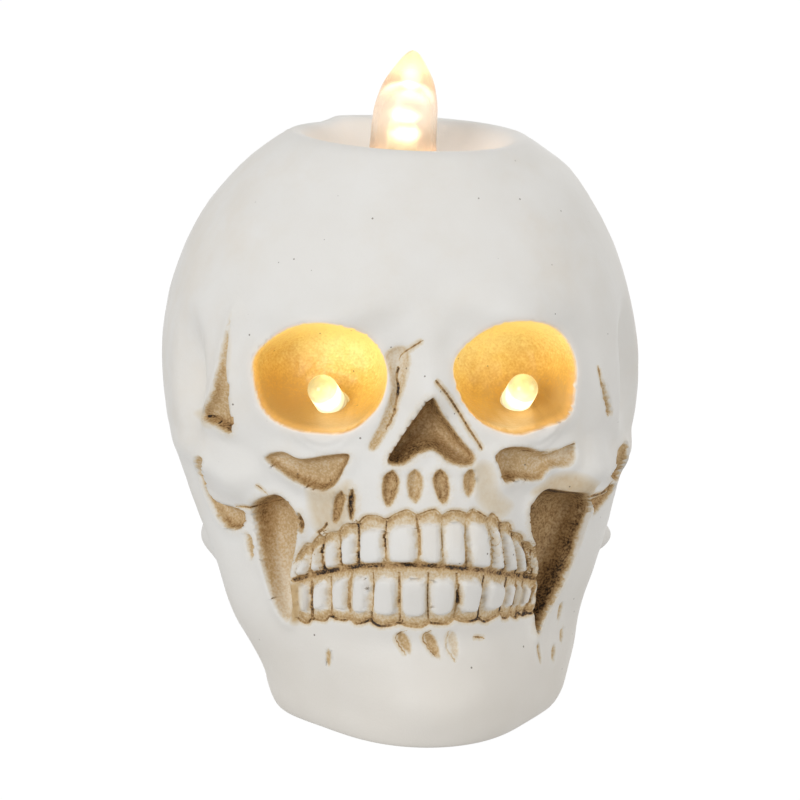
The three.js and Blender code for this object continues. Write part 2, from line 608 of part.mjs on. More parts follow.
const doorRadius = wellRadius + doorSeat;
const heelWidth = 9;
const pinRadius = doorThickness / 2;
const pinLevel = plateRecess + pinRadius;
const pinY = - doorRadius - 0.6;
const screwY = wellOuter + screwRadius + 0.7;
const bossRadius = screwRadius + 1.2;
const headRadius = 2.2 * screwRadius;
const headBottom = plateRecess + 0.15;
const headTop = headBottom + 0.9;
const tongueRadius = headRadius + 1;
const screwTip = doorTop + seat + screwGrip;

const bar = ( radius, length, x, y, z ) => {

	return new THREE.CylinderGeometry( radius, radius, length, 16 ).rotateZ( Math.PI / 2 ).translate( x, y, z );

};

const doorBlank = ( gap, from, to, heelEnd ) => [
	disc( doorRadius + gap, from, to, wellX ),
	box( heelWidth + 2 * gap, - heelEnd, from, to, wellX, heelEnd / 2 ),
	box( 2 * ( tongueRadius + gap ), screwY, from, to, wellX, screwY / 2 ),
	disc( tongueRadius + gap, from, to, wellX, screwY, 24 ),
];

const stripWidth = 4;
const stripInner = cellDiameter / 2 + 0.2;
const stripTurn = radians( 225 );
const onStrip = ( geometry ) => geometry.rotateZ( stripTurn ).translate( wellX, 0, 0 );
const stripSlot = onStrip( box( 3, stripWidth + 2 * seat, plateTop, boardLevel, stripInner - seat + 1.5 ) );
const tailX = wellX - 3;
const tailRadius = 0.5;

const moduleBlank = join( disc( plateRadius, plateRecess, plateTop ),
	cut( disc( spigotRadius, plateTop - 0.5, plateTop + spigotHeight ), disc( pocketRadius, plateTop, capTop ) ),
	disc( wellOuter, plateTop - 0.5, wellTop, wellX ),
	disc( bossRadius, plateTop - 0.5, screwTip + 1.5, wellX, screwY, 20 ) );
const knobSlot = 2 * knobTravel + knobLength + 2 * seat;
add( module, 'module_base', cut( moduleBlank,
	...doorBlank( seat, 0, doorTop + seat, pinY - pinRadius - seat ),
	bar( pinRadius + seat, heelWidth + 2 * ( pinLength + seat ), wellX, pinY, pinLevel ),
	disc( wellRadius, plateRecess, wellRoof, wellX ),
	disc( screwRadius + 0.35, plateRecess, screwTip + 0.5, wellX, screwY, 16 ),
	disc( tailRadius + seat, wellRoof - 1, capTop, tailX, 0, 12 ),
	stripSlot,
	box( knobWidth + 2 * seat, knobSlot, 0, capTop, switchX ) ), blackPlastic );

add( module, 'module_cap', turned( [ [ spigotRadius + seat, plateTop + seat ], [ capRadius, plateTop + seat ],
	[ capRadius, capTop ], [ wireHole, capTop ], [ wireHole, capCeiling ], [ spigotRadius + seat, capCeiling ],
	[ spigotRadius + seat, plateTop + seat ] ] ), blackPlastic );

add( module, 'battery_door', cut( join( ...doorBlank( 0, plateRecess, doorTop, pinY ),
	bar( pinRadius, heelWidth + 2 * pinLength, wellX, pinY, pinLevel ) ),
disc( headRadius + seat, 0, headTop + 0.15, wellX, screwY, 24 ),
disc( screwRadius + 0.35, 0, doorTop + 1, wellX, screwY, 16 ) ), blackPlastic );

add( module, 'door_screw', cut( turned( [ [ 0, headBottom ], [ 0.85 * headRadius, headBottom ],
	[ headRadius, headBottom + 0.3 ], [ headRadius, headTop ], [ screwRadius, headTop ],
	[ screwRadius, screwTip - 0.5 ], [ 0.6 * screwRadius, screwTip ],
	[ 0, screwTip ] ], 20 ).translate( wellX, screwY, 0 ),
box( 0.5, 1.4 * headRadius, 0, headBottom + 0.5, wellX, screwY ),
box( 1.4 * headRadius, 0.5, 0, headBottom + 0.5, wellX, screwY ) ), steel );

const cellProfile = ( z ) => [ [ 0, z ], [ 0.97 * cellDiameter / 2, z ], [ cellDiameter / 2, z + 0.3 ],
	[ cellDiameter / 2, z + 0.75 * cellThickness ], [ 0.9 * cellDiameter / 2, z + 0.85 * cellThickness ],
	[ 0.88 * cellDiameter / 2, z + cellThickness ], [ 0, z + cellThickness ] ];
add( module, 'coin_cell_lower', turned( cellProfile( lowerCell ) ).translate( wellX, 0, 0 ), steel );
add( module, 'coin_cell_upper', turned( cellProfile( upperCell ) ).translate( wellX, 0, 0 ), steel );

const negativeTop = negativeLevel + contactThickness;
add( module, 'contact_negative', join( disc( 0.3 * cellDiameter, negativeLevel, negativeTop, wellX, 0, 24 ),
	disc( tailRadius, negativeLevel, boardLevel - seat, tailX, 0, 12 ) ), brass );
add( module, 'contact_positive', onStrip( box( contactThickness, stripWidth, plateTop + seat,
	boardLevel - seat, stripInner + contactThickness / 2 ) ), brass );

const switchBottom = plateTop + seat;
const switchTop = switchBottom + switchHeight;
const pins = [ - 2.5, 0, 2.5 ].map( ( y ) => disc( 0.4, switchTop - 0.5, boardLevel - seat, switchX, y, 8 ) );
const knobTop = switchBottom + 1.2;
const switchBlank = join( box( switchWidth, switchLength, switchBottom, switchTop, switchX ), ...pins );
add( module, 'switch_body', cut( switchBlank,
	box( knobWidth + 2 * seat, knobSlot, 0, knobTop + seat, switchX ) ), steel );
add( module, 'switch_knob', box( knobWidth, knobLength, 0.4 * plateRecess, knobTop, switchX ), greyPlastic );

const boardRadius = pocketRadius - 1.5;
const partLevel = boardTop + seat;
add( module, 'circuit_board', disc( boardRadius, boardLevel, boardTop ), fibreBoard );
add( module, 'timer_chip', box( 4, 5, partLevel, boardTop + chipHeight, - 0.55 * boardRadius,
	0.2 * boardRadius ), blackPlastic );
for ( const [ name, step ] of [ [ 'left', - 1 ], [ 'flame', 0 ], [ 'right', 1 ] ] ) {

	const body = new THREE.CylinderGeometry( 0.8, 0.8, 3.6, 12 );
	body.translate( 0.55 * boardRadius, step * 5, partLevel + 0.8 );
	add( module, `resistor_${ name }`, body, resistorBody );

}

// Wires: six rise from the board through the cap, two to each lamp
const apart = ledRadius / 3;
const inBore = [ - seat, - 0.3 * boreLength, - 0.6 * boreLength, - 0.83 * boreLength ];
const upFlame = [ flameLedBase - seat, holderBottom + holderBase / 3, holderBottom - 0.4 * flameHeight,
	holderBottom - 1.25 * flameHeight ];
lantern.updateMatrixWorld( true );
for ( const [ name, group, levels, x, y ] of [ [ 'left', leftLamp, inBore, - 0.5, - 0.2 ],
	[ 'right', rightLamp, inBore, 0.5, - 0.2 ], [ 'flame', flame, upFlame, 0, 0.35 ] ] ) {

	for ( const [ colour, look, side ] of [ [ 'red', redCover, - 1 ], [ 'black', blackCover, 1 ] ] ) {

		const rise = [ partLevel, capCeiling, capTop + 3 ].map( ( z ) => {

			return module.localToWorld( new THREE.Vector3( x * wireHole + side * apart, y * wireHole, z ) );

		} );
		const run = levels.map( ( z ) => group.localToWorld( new THREE.Vector3( side * apart, 0, z ) ) );
		add( lantern, `wire_${ name }_${ colour }`, tube( [ ...rise, ...run.reverse() ], wireRadius, 15 ), look );

	}

}

export default lantern;
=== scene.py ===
# Resin skull lantern with an electric flame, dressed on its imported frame
import json
import math

import bpy
import numpy as np
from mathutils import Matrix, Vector, noise


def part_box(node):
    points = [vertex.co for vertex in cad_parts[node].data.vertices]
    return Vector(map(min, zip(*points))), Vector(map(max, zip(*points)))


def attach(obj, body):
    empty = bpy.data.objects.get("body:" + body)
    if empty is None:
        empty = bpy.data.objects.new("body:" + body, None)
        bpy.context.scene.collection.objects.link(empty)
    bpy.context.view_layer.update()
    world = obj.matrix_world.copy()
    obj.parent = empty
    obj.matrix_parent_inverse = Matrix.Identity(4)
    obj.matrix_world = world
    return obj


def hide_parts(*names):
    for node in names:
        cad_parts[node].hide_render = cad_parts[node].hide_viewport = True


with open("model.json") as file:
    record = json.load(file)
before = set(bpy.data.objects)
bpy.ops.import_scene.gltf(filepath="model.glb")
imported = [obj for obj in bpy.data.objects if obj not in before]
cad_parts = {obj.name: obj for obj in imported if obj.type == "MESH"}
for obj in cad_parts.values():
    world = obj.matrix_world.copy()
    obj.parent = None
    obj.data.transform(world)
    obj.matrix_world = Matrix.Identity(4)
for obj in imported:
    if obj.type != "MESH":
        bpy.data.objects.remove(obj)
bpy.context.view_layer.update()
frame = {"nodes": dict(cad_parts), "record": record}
mm = 0.001
tiny = 1e-12  # keeps a division away from nought
print('frame loaded:', len(frame['nodes']), 'nodes')


def nodeBox(name):
    low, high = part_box(name)
    return np.array(low) / mm, np.array(high) / mm


def smooth(value, low, high):
    t = np.clip((value - low) / (high - low), 0, 1)
    return t * t * (3 - 2 * t)


def curve(stations):
    at, height = np.array(stations, float).T
    slope = np.diff(height) / np.diff(at)
    lean = np.concatenate([slope[:1], (slope[:-1] + slope[1:]) / 2, slope[-1:]])

    def read(x):
        x = np.clip(x, at[0], at[-1])
        i = np.clip(np.searchsorted(at, x, side='right') - 1, 0, len(at) - 2)
        span = at[i + 1] - at[i]
        p = (x - at[i]) / span
        return ((2 * p**3 - 3 * p**2 + 1) * height[i] + (p**3 - 2 * p**2 + p) * span * lean[i]
                + (3 * p**2 - 2 * p**3) * height[i + 1] + (p**3 - p**2) * span * lean[i + 1])
    return read


# Skull: half width, front and back against height, as shares of the casting's box
castLow, castHigh = nodeBox('skull_casting')
plateLow, plateHigh = nodeBox('module_base')
capLow, capHigh = nodeBox('module_cap')
skull = {
    'columns': 408, 'wallRows': 205, 'dishRows': 17, 'insideRows': 7,
    'rimAbove': .99, 'rimLean': 2.0, 'leanFrom': .92, 'wallTop': .985,
    'dishDepth': 6.0, 'dishReach': (.985, .36), 'holeRadius': 6.2, 'holeEdge': .4,
    'wall': 5.0, 'faceBacking': 15.0, 'seat': .3, 'seatEdge': .3, 'boxRoom': .02,
    'baseEdge': 4.0, 'baseInset': 1.3, 'baseRows': (0, .02, .08, .18, .32, .5, .75),
    'crownCentre': (.7, 1), 'jawCentre': (.2, .5),  # heights between which the middle moves to dish and jaw
    # hollow and tone carry the wash with painted shade, stain carries stains and a painted shadow
    'marks': {'hollow': -3, 'tone': 0, 'socket': -9, 'line': 3, 'lineFar': 3, 'lineWidth': .1, 'lineTone': 0,
              'stain': 0},
    'side': [(0, .6), (.08, .65), (.21, .757), (.31, .843), (.39, .915), (.48, .98), (.58, 1),
             (.69, .975), (.77, .923), (.84, .847), (.91, .74), (.95, .655), (1, .51)],
    'front': [(0, .98), (.08, .975), (.18, .93), (.31, .96), (.42, .95), (.5, .915), (.6, .855),
              (.67, .81), (.73, .82), (.81, .785), (.88, .71), (.94, .62), (1, .53)],
    'back': [(0, .68), (.05, .745), (.13, .845), (.23, .935), (.37, .99), (.5, 1), (.61, .985),
             (.71, .925), (.82, .8), (.9, .65), (.95, .52), (1, .37)],
    'pinch': [(0, .1), (.16, .13), (.31, .16), (.42, .1), (.5, .02), (.63, -.03), (.8, -.03), (1, 0)],
    'aside': [(0, .03), (.05, .034), (.1, .025), (.17, -.006), (.26, 0), (.45, .005), (.86, 0), (.95, .015),
              (1, .025)],
    'backPinch': -.03, 'jawForward': -.3,
    'columnCrowd': [(0, 1), (.9, 1), (1.1, .62), (1.5, .5), (1.9, .32), (2.3, .24), (3.1416, .24)],
    'rowCrowd': [(0, .4), (8, .5), (11, 1), (54, 1), (57, .65), (70, .75), (73, .7), (78, .3), (96, .3)],
    'rim': [(.985, 0), (.94, 0), (.87, .05), (.79, .28), (.69, .58), (.56, .83), (.42, 1), (.32, 1)],
    'notch': (10, 13.5, .9, 4.0, .93),  # a step in the rim at the back: from, to, depth, fade, height
}
halfWidth, halfDepth = (castHigh[0] - castLow[0]) / 2, castHigh[1]
rimHeight = castHigh[2] - skull['rimAbove']
sideCurve, frontCurve, backCurve, pinchCurve, asideCurve, rimCurve = (
    curve(sorted(skull[name])) for name in ('side', 'front', 'back', 'pinch', 'aside', 'rim'))
dishY = (backCurve(1.0) - frontCurve(1.0)) * halfDepth / 2
dishFloor = rimHeight - skull['dishDepth']

# soft swellings and dips: sides, across, up, half width, half height, tilt, facing, rise
both, middle, left, right = (-1, 1), (1,), (-1,), (1,)
forms = [
    (both, .36, .75, .36, .06, -8, 0, .065),     # brows
    (middle, 0, .71, .2, .06, 0, 0, .02),        # between the brows
    (middle, .015, .63, .15, .1, 0, 0, .09),     # bridge of the nose
    (left, .27, .43, .28, .075, 0, 35, .1),      # cheekbones
    (right, .24, .44, .25, .075, 0, 32, .095),
    (left, -.3, .46, .45, .045, 0, 85, .025),    # cheek arches
    (right, -.3, .435, .45, .045, 0, 85, .03),
    (both, .08, .6, .18, .14, 0, 62, -.085),     # temples
    (left, .22, .25, .3, .058, 0, 90, .06),      # bumps behind the jaw
    (right, .22, .236, .3, .08, 0, 90, .165),
    (left, .4, .17, .45, .065, 0, 90, -.04),     # neck
    (right, .4, .17, .45, .065, 0, 90, -.02),
    (middle, 0, .32, .52, .14, 0, 0, .03),       # mouth
    (middle, 0, .075, .4, .07, 0, 0, .025),      # chin
    (middle, 0, .175, .5, .045, 0, 0, -.02),     # under the lip
]

# Crisp hollows of the face, on a plane turned from the front: facing, depth, width of the wall, tone of the
# wash, the way it deepens and by how much, and the outline in mm across and up
drawnHead = (40, 95)  # half width and height of the head that the outlines are drawn on
drawn = np.array([halfWidth, rimHeight]) / drawnHead
hollows = {
    'socketLeft': (-14, 12, 8.6, 0, (0, 0), [
        (-19, 62.5), (-16.5, 65.5), (-12, 68.5), (-7, 69.6), (-2, 68.5), (1.2, 66.2), (3.2, 62), (3, 58),
        (1.2, 54.8), (-2.5, 52), (-8, 51.4), (-14, 52.3), (-17.5, 54.8), (-18.9, 59)]),
    'socketRight': (14, 12, 8.6, 0, (0, 0), [
        (-5, 62.3), (-2.5, 65.5), (1.5, 68.5), (6, 69.4), (11.5, 68), (15.5, 65), (17.3, 61), (16.8, 56.5),
        (15.5, 52.8), (11, 51.4), (5, 50.8), (0, 52.5), (-2.8, 55.2), (-4.5, 59)]),
    'nose': (0, 6, 2.2, .76, (150, .4), [
        (.6, 58), (2.7, 55), (5.5, 51), (8, 47.7), (6.5, 46.3), (3.5, 47), (1, 49), (-1.5, 48.4), (-4, 46.8),
        (-6.5, 47.3), (-5, 50), (-2.3, 53.8)]),
    'cheekLeft': (-20, 2.8, 1.3, .62, (-60, .4), [
        (-13.3, 46.2), (-10, 47.9), (-6.5, 47), (-2, 48), (2, 48.4), (1.2, 45.8), (-.5, 43), (-3, 41.6),
        (-7, 42.3), (-10.5, 44)]),
    'cheekRight': (20, 2.6, 1.3, .64, (180, .6), [
        (-3.1, 48), (-1, 49), (3, 48.6), (7, 47), (12.3, 47.7), (13, 45.5), (11.5, 43.8), (8, 44), (6, 42.4),
        (3, 42.7), (1, 43.2), (-1.5, 43), (-2.7, 45.5)]),
    'archLeft': (-60, 1.8, 1.1, .58, (-40, .4), [
        (-1.8, 44.1), (-5.2, 41), (-5.3, 38.6), (-3.9, 36.2), (-1.5, 33.6), (1.1, 31.9), (4, 32), (5.7, 33.5),
        (6, 36.1), (-.5, 36.3), (-2.6, 37.7), (-1.6, 40.5), (1.2, 43.8)]),
    'underArchRight': (50, 1.2, 1, .62, (90, .2), [
        (1.3, 36.3), (5, 35.9), (8.3, 36.1), (9.8, 37.4), (11, 36.1), (8.6, 34.8), (6.1, 33.9), (3.8, 32.9),
        (3.1, 34.5)]),
    'archSlitRight': (70, 1.6, 1, .56, (0, .2), [
        (-2, 44.3), (-4.9, 44), (-8, 42.8), (-7.6, 40.6), (-3.3, 37.8), (.4, 37), (1.1, 38.2), (-1, 41),
        (-1, 43)]),
    'jawLeft': (-34, 6, 2, .66, (90, .75), [
        (-8.2, 36), (-6, 38.6), (-2.5, 39.9), (0, 38.5), (1.6, 36.5), (.5, 31.5), (-.9, 26), (-.4, 21),
        (-1.5, 18), (-3.5, 19.3), (-5.5, 23.7), (-7.4, 29.5)]),
    'jawRight': (34, 7, 2, .98, (170, .4), [
        (-5.2, 36), (-5.3, 38.2), (-2.5, 40.5), (3, 39.6), (9, 38), (12, 34.8), (10.5, 31), (7.5, 26.5),
        (4, 21.5), (.7, 17.2), (-.7, 15.2), (-1.7, 19), (-1.2, 25), (-1.8, 30), (-4, 32.8)]),
    'templeLeft': (-50, 2.6, 1.1, .74, (-40, .85), [
        (.5, 69.4), (.1, 65.6), (0, 61.5), (.8, 57.5), (1.3, 53.4), (1.6, 51.3), (.3, 49.3), (-3.8, 50.2),
        (-8, 50.6), (-3.7, 55.2), (-2.2, 59.6), (-1.3, 64.6)]),
    'templeRight': (55, 1.2, .8, .5, (-60, .5), [
        (-4.9, 58.2), (-3.5, 55.8), (-1.7, 52), (-1.2, 50.8), (-2.8, 51.2), (-4.4, 54.7)]),
    'tearLeft': (0, .7, 1.4, .38, (-60, .3), [
        (-6.3, 64.6), (-3.4, 65.8), (-2.2, 63.5), (-3.6, 58), (-5.6, 53), (-8.2, 49), (-9.4, 49.8),
        (-7.3, 53.8), (-5.6, 58.5), (-5.9, 62)]),
    'jawLobe': (-25, 1.8, .7, .66, (0, 0), [(-4.1, 37.5), (-3.1, 35.8), (-3.8, 33.7), (-4.6, 35.2)]),
    'ramusLeft': (-40, .8, .7, .4, (0, 0), [
        (-6.6, 32.3), (-5.2, 31), (-5, 28.6), (-5.6, 27.3), (-6.7, 29.7)]),
}
streaks = {  # almond hollows over the roots and on the chin: facing, depth, tone, top, foot, half width
    'rootA': (0, 1.1, .6, (-5.6, 46.3), (-6.5, 40), 1.4),
    'rootB': (0, 1, .46, (-2, 46.4), (-2.2, 40.6), 1.45),
    'rootC': (0, 1.1, .58, (1.8, 46.4), (2.7, 40.2), 1.4),
    'rootD': (0, 1, .5, (7, 46.2), (6.6, 41.2), 1.15),
    'rootE': (0, 1.2, .84, (-12, 43), (-12.1, 36.9), .6),
    'rootF': (-10, 1.1, .6, (-6.5, 42.5), (-8, 35.9), 1),
    'chinA': (0, .6, .42, (-4.6, 19.2), (-2.7, 15.4), 1),
    'chinB': (0, .6, .46, (-.3, 19.2), (2, 14.5), .95),
    'chinH': (0, .4, .26, (3.9, 19.2), (4.9, 14.2), .9),
    'chinC': (-10, .4, .42, (-9.2, 14.7), (-9.2, 11.4), .55),
    'chinD': (34, .4, .4, (-.5, 13.9), (.3, 9.8), .5),
    'chinE': (34, .4, .4, (4.2, 12.6), (4.3, 9.1), .55),
    'chinF': (45, .4, .4, (-1.1, 19.7), (-1.6, 15.7), .5),
    'chinG': (45, .4, .4, (.3, 15.2), (-.1, 11.7), .5),
}
shadowAndCracks = {  # facing, half width, depth, tone, line; one is darkened as a painted shadow
    'browLeft': (0, .12, .25, .7, [(-.7, 66.4), (-2.7, 65), (-3.8, 63.7)]),
    'tearLeft': (0, .2, .5, .95, [(-4, 61.9), (-4.4, 60.6), (-4.2, 58.7), (-5.2, 54.6), (-6.2, 52.7)]),
    'tearRight': (0, .2, .6, .8, [(1.6, 60.3), (3.9, 57.2), (6.4, 53), (8.8, 49.2)]),
    'templeLeft': (-50, .25, .5, 1, [(-7.1, 50.8), (-4.4, 51.2), (-3, 50.7)]),
    'templeRight': (60, .25, .4, .6, [(-8.6, 59.2), (-8.4, 57.2), (-7.4, 54), (-6, 51)]),
    'archRight': (50, .25, .5, .8, [(.5, 36.9), (5.1, 36.1), (7.9, 36.3), (9.3, 37.4)]),
    'jawTopLeft': (-30, .2, .4, .75, [(-13.2, 36.5), (-10.5, 36.8), (-7.7, 37.4), (-4.9, 37.7)]),
    # a groove inside the right jaw hollow by its left wall, darkened as the painted shadow of the wall's
    # undercut
    'paintedShadowGrooveJawRight': (30, .4, .5, .97, [(-2.1, 38.1), (-1.6, 35.6), (-.6, 33.6), (1, 30.7), (1.5, 29)]),
    'cheekTopRight': (15, .15, .25, .8, [(6.5, 47.6), (9.3, 47.2), (13.4, 47), (15.8, 47.5)]),
    'cheekNotch': (-20, .25, .5, .97, [(-4.2, 34.3), (-3.3, 35), (-2.5, 36)]),
    'chinArc': (0, .14, .2, .45, [(3.6, 18.9), (3.1, 17.4), (3.3, 15.9), (4.4, 14.3)]),
    'chinArcA': (0, .12, .2, .62, [(-4, 19.1), (-5, 18.2), (-4.6, 16.9), (-3.7, 15.6)]),
    'chinArcB': (0, .12, .2, .7, [(.2, 19.1), (-.7, 18.3), (-.2, 16.9), (1, 15.3)]),
    'chinSpot': (0, .15, .25, .85, [(8.2, 17.3), (9.4, 17)]),
    'cheekCrack': (-30, .12, .2, .6, [(-8.1, 41.1), (-6.8, 40)]),
}
shadowAndStains = {  # stains, and a painted shadow under the right cheekbone: facing, tone, outline
    # painted shadow on the underside of the right cheekbone
    'paintedShadowUnderCheekRight': (30, .34, [(-2.8, 40.7), (2.4, 42.9), (6.9, 42.6), (14.3, 38.7), (14.9, 36.4), (10, 36.8),
                           (3.9, 38.4), (.1, 38.6)]),
    'templeLeft': (-50, .26, [(.1, 69.4), (-.3, 65.5), (-1.4, 60.5), (-5.2, 54.1), (-12.7, 50.5),
                              (-8.9, 49.2), (-2.8, 49.8), (.6, 52.5), (.8, 58.3), (.5, 64.8)]),
    'maxillaLeft': (0, .3, [(-19.1, 43.6), (-15.3, 42.9), (-12, 44.1), (-12, 37.4), (-15.2, 33.4),
                            (-17.9, 35.3)]),
    'maxillaRight': (0, .26, [(7, 46.5), (10.4, 46.7), (12.1, 41.9), (14.7, 38.9), (12.1, 36.9), (8.2, 40)]),
    'jawLeftFoot': (-25, .5, [(-8, 23.5), (-4.9, 25.9), (-4.3, 22.3), (-4.7, 18.5), (-6.5, 17.9),
                              (-7.2, 20.3)]),
}
teeth = {
    'stand': .95, 'edge': (-.2, .5),             # how far the crowns stand out of their bed, and their edge
    'crown': .2, 'crownWidth': 2,                # how far they swell, and over what width
    'bed': -.4, 'bedEdge': (-.2, .5), 'bedTone': .36,
    'gumShadeAndWashTone': .34, 'gumShadeAndWashWidth': .7,               # more wash and painted shade at gum and bite, and how wide it lies
    'ragged': [(1.3, .45)],                      # uneven edge of the wash on a crown: size, height
    'arch': {'upper': .95, 'lower': -.7},        # rise of the gum over each tooth
    'archUneven': (.75, .35), 'archAt': (.28, .72),
    'room': {'upper': (1.3, .35), 'lower': (1.3, .7)}, 'sideRoom': .44,  # bare bed at the gum, bite and sides
    'sideShare': .22, 'outlinePoints': 14, 'square': .55, 'steps': 3,    # outline of a crown
    'grooves': {'gumUpper': (.12, .3, .66), 'bite': (.48, .4, .9), 'gumLower': (.22, .3, .86),
                'gaps': (.19, .3, .98)},         # half width, depth, tone
    'gapUneven': {'wander': .3, 'width': .4, 'tone': .18},
    'upper': [  # gum end and bite end of the line on each side of a tooth, from the left
        ((-20, 28.6), (-20.4, 25.3)), ((-18.1, 31.8), (-18.4, 26.5)), ((-16.4, 33.3), (-16.3, 27.7)),
        ((-14.2, 34.9), (-13.9, 28.8)), ((-11.3, 37), (-11.4, 29.8)), ((-6.8, 38.1), (-6.8, 30.7)),
        ((-2, 39), (-1.8, 31.1)), ((2.2, 38.9), (2.4, 30.6)), ((6.4, 38.8), (6.6, 29.9)),
        ((10.2, 37.6), (11.1, 28.6)), ((12.4, 36.2), (13.5, 27.6)), ((14.6, 34.3), (16, 26.6)),
        ((16.8, 31.6), (17.8, 25.7)), ((18.3, 30.1), (18.7, 25.4)), ((19.6, 28.4), (19.3, 24.7))],
    'lower': [
        ((-19.8, 18.8), (-20.4, 25.3)), ((-18.1, 19.1), (-18.1, 25.4)), ((-15.2, 20.3), (-15.4, 26.8)),
        ((-12.2, 20.3), (-12.3, 28.4)), ((-9.1, 20.6), (-9.1, 28.9)), ((-4.6, 20.6), (-4.9, 29.3)),
        ((.2, 20.6), (-.1, 29.4)), ((4.6, 21), (4.8, 28.9)), ((8.9, 20.3), (9.7, 27.7)),
        ((12.8, 20.3), (14.1, 26.1)), ((14.7, 19.7), (16, 25.2)), ((16.2, 19.5), (17.4, 24.6)),
        ((17.5, 19.5), (18.9, 23.9)), ((18.8, 19.4), (19.3, 24.7))],
    'bite': [(-20.4, 25.3), (-15.2, 27.9), (-10.8, 29.7), (-4.6, 30.8), (0, 30.7), (4.4, 30), (9.6, 28.7),
             (15.9, 26.1), (19.3, 24.7)],
}
carving = {
    'reach': 4, 'socketReach': 9, 'lineReach': 3,        # how far beyond its outline a cut is worked
    'snap': .21, 'steepest': -.3,                        # how near a line points slide onto it
    'lip': .3, 'lipDepth': 2.4, 'lipWidth': 1.4, 'bowl': 2,
    'socketLip': .9, 'socketLipWidth': 2.2, 'socketBowl': 4,
    'edgeShadeAndWash': (.84, .34, .5, .55),                     # wash on the floor, more by the wall as wash and painted shade, place, width
    'shallowTone': .2,                                   # share of the wash where a hollow runs out
    'almond': (.8, .5), 'almondWall': .8,                # where a streak is widest, how blunt, and its wall
    'crackSpread': 1.8, 'grooveSpread': 1.7, 'lineEdge': .2, 'shadowAndStainFade': (-1, 1.4),
    'uneven': [(11, .26), (3.5, .07)],                   # swells of the cast: size, height
    'hammered': [(1.6, 1), (.8, .6)], 'hammeredHeight': .38, 'hammeredFrom': (.2, 1.2),  # in the sockets
    'ripples': [(3.1, -.4, .5), (4.5, .32, .4), (5.7, .26, .4)],  # round a lamp: radius, rise, width
    'lampSpots': {'socketLeft': (-7, 54.4), 'socketRight': (9, 53.8)},  # where the lamps come through
}


def plainHead(angle, share, inset=0.0):
    sin, cos = np.sin(angle), np.cos(angle)
    toJaw = 1 - smooth(share, *skull['jawCentre'])
    centre = dishY * smooth(share, *skull['crownCentre']) + skull['jawForward'] * halfDepth * toJaw
    reach = np.where(cos > 0, frontCurve(share) * halfDepth + centre, backCurve(share) * halfDepth - centre)
    pinch = 1 - np.where(cos > 0, pinchCurve(share), skull['backPinch']) * np.sin(2 * angle)**2
    radius = pinch / np.hypot(sin / (sideCurve(share) * halfWidth), cos / reach) - inset
    return np.stack([radius * sin, centre - radius * cos, share * rimHeight + 0 * angle], -1)


def swell(plain):
    out = plain.copy()
    x, y, z = plain[..., 0], plain[..., 1], plain[..., 2]
    for sides, across, up, wide, high, tilt, turn, rise in forms:
        tilt, turn = math.radians(tilt), math.radians(turn)
        for side in sides:
            seen = side * x * math.sin(turn) >= y * math.cos(turn)
            a = side * x * math.cos(turn) + y * math.sin(turn) - across * halfWidth
            b = z - up * rimHeight
            u = (a * math.cos(tilt) + b * math.sin(tilt)) / (wide * halfWidth)
            v = (b * math.cos(tilt) - a * math.sin(tilt)) / (high * rimHeight)
            lift = rise * halfDepth * (1 - smooth(np.hypot(u, v), 0, 1)) * seen
            out[..., 0] += side * math.sin(turn) * lift
            out[..., 1] -= math.cos(turn) * lift
    share = z / rimHeight
    out[..., 2] -= skull['rimLean'] * x / halfWidth * smooth(share, skull['leanFrom'], 1)
    out[..., 0] += asideCurve(share) * halfWidth
    start, end, depth, fade, above = skull['notch']
    out[..., 2] -= depth * smooth(-x, start, end) * smooth(y - dishY, 0, fade) * smooth(share, above, 1)
    return out


# A smooth line through points, closed or open
def spline(points, closed, steps=5):
    p = np.array(points, float) * drawn
    if closed:
        a, b, c, d = np.roll(p, 1, 0), p, np.roll(p, -1, 0), np.roll(p, -2, 0)
    else:
        q = np.vstack([2 * p[0] - p[1], p, 2 * p[-1] - p[-2]])
        a, b, c, d = q[:-3], q[1:-2], q[2:-1], q[3:]
    t = np.linspace(0, 1, steps, endpoint=False)[None, :, None]
    a, b, c, d = (v[:, None, :] for v in (a, b, c, d))
    line = b + (c - a) * t / 2 + (2 * a - 5 * b + 4 * c - d) * t**2 / 2 + (3 * b - a - 3 * c + d) * t**3 / 2
    line = line.reshape(-1, 2)
    return line if closed else np.vstack([line, p[-1]])


# Distance to a line, the nearest spot on it, and which points lie inside a closed one or left of an open one
def nearest(points, line, closed):
    best = np.full(len(points), np.inf)
    spot = np.zeros_like(points)
    inside = np.zeros(len(points), bool)
    starts, ends = (line, np.roll(line, -1, 0)) if closed else (line[:-1], line[1:])
    for a, b in zip(starts, ends):
        run = b - a
        t = np.clip((points - a) @ run / max(run @ run, tiny), 0, 1)
        q = a + t[:, None] * run
        far = ((points - q)**2).sum(1)
        closer = far < best
        best[closer], spot[closer] = far[closer], q[closer]
        if not closed:
            aside = run[0] * (points[:, 1] - a[1]) - run[1] * (points[:, 0] - a[0]) > 0
            inside[closer] = aside[closer]
        if closed and a[1] != b[1]:
            crosses = (a[1] > points[:, 1]) != (b[1] > points[:, 1])
            inside ^= crosses & (points[:, 0] < a[0] + (points[:, 1] - a[1]) * run[0] / run[1])
    return np.sqrt(best), spot, inside


# Distance to a closed line, above nought inside it
def signedDistance(points, line):
    far, _, inside = nearest(points, line, True)
    return np.where(inside, far, -far)


# Points laid flat on a plane that faces a turn from the front, near a line
def laidFlat(points, turn, line, margin):
    turn = math.radians(turn)
    across = np.array([math.cos(turn), math.sin(turn), 0])
    into = np.array([-math.sin(turn), math.cos(turn), 0])
    flat = np.stack([points @ across, points[:, 2]], 1)
    near = (points @ into < 0) & (flat > line.min(0) - margin).all(1) & (flat < line.max(0) + margin).all(1)
    index = np.where(near)[0]
    return index, flat[index], across, into


upward = np.array([0, 0, 1.0])


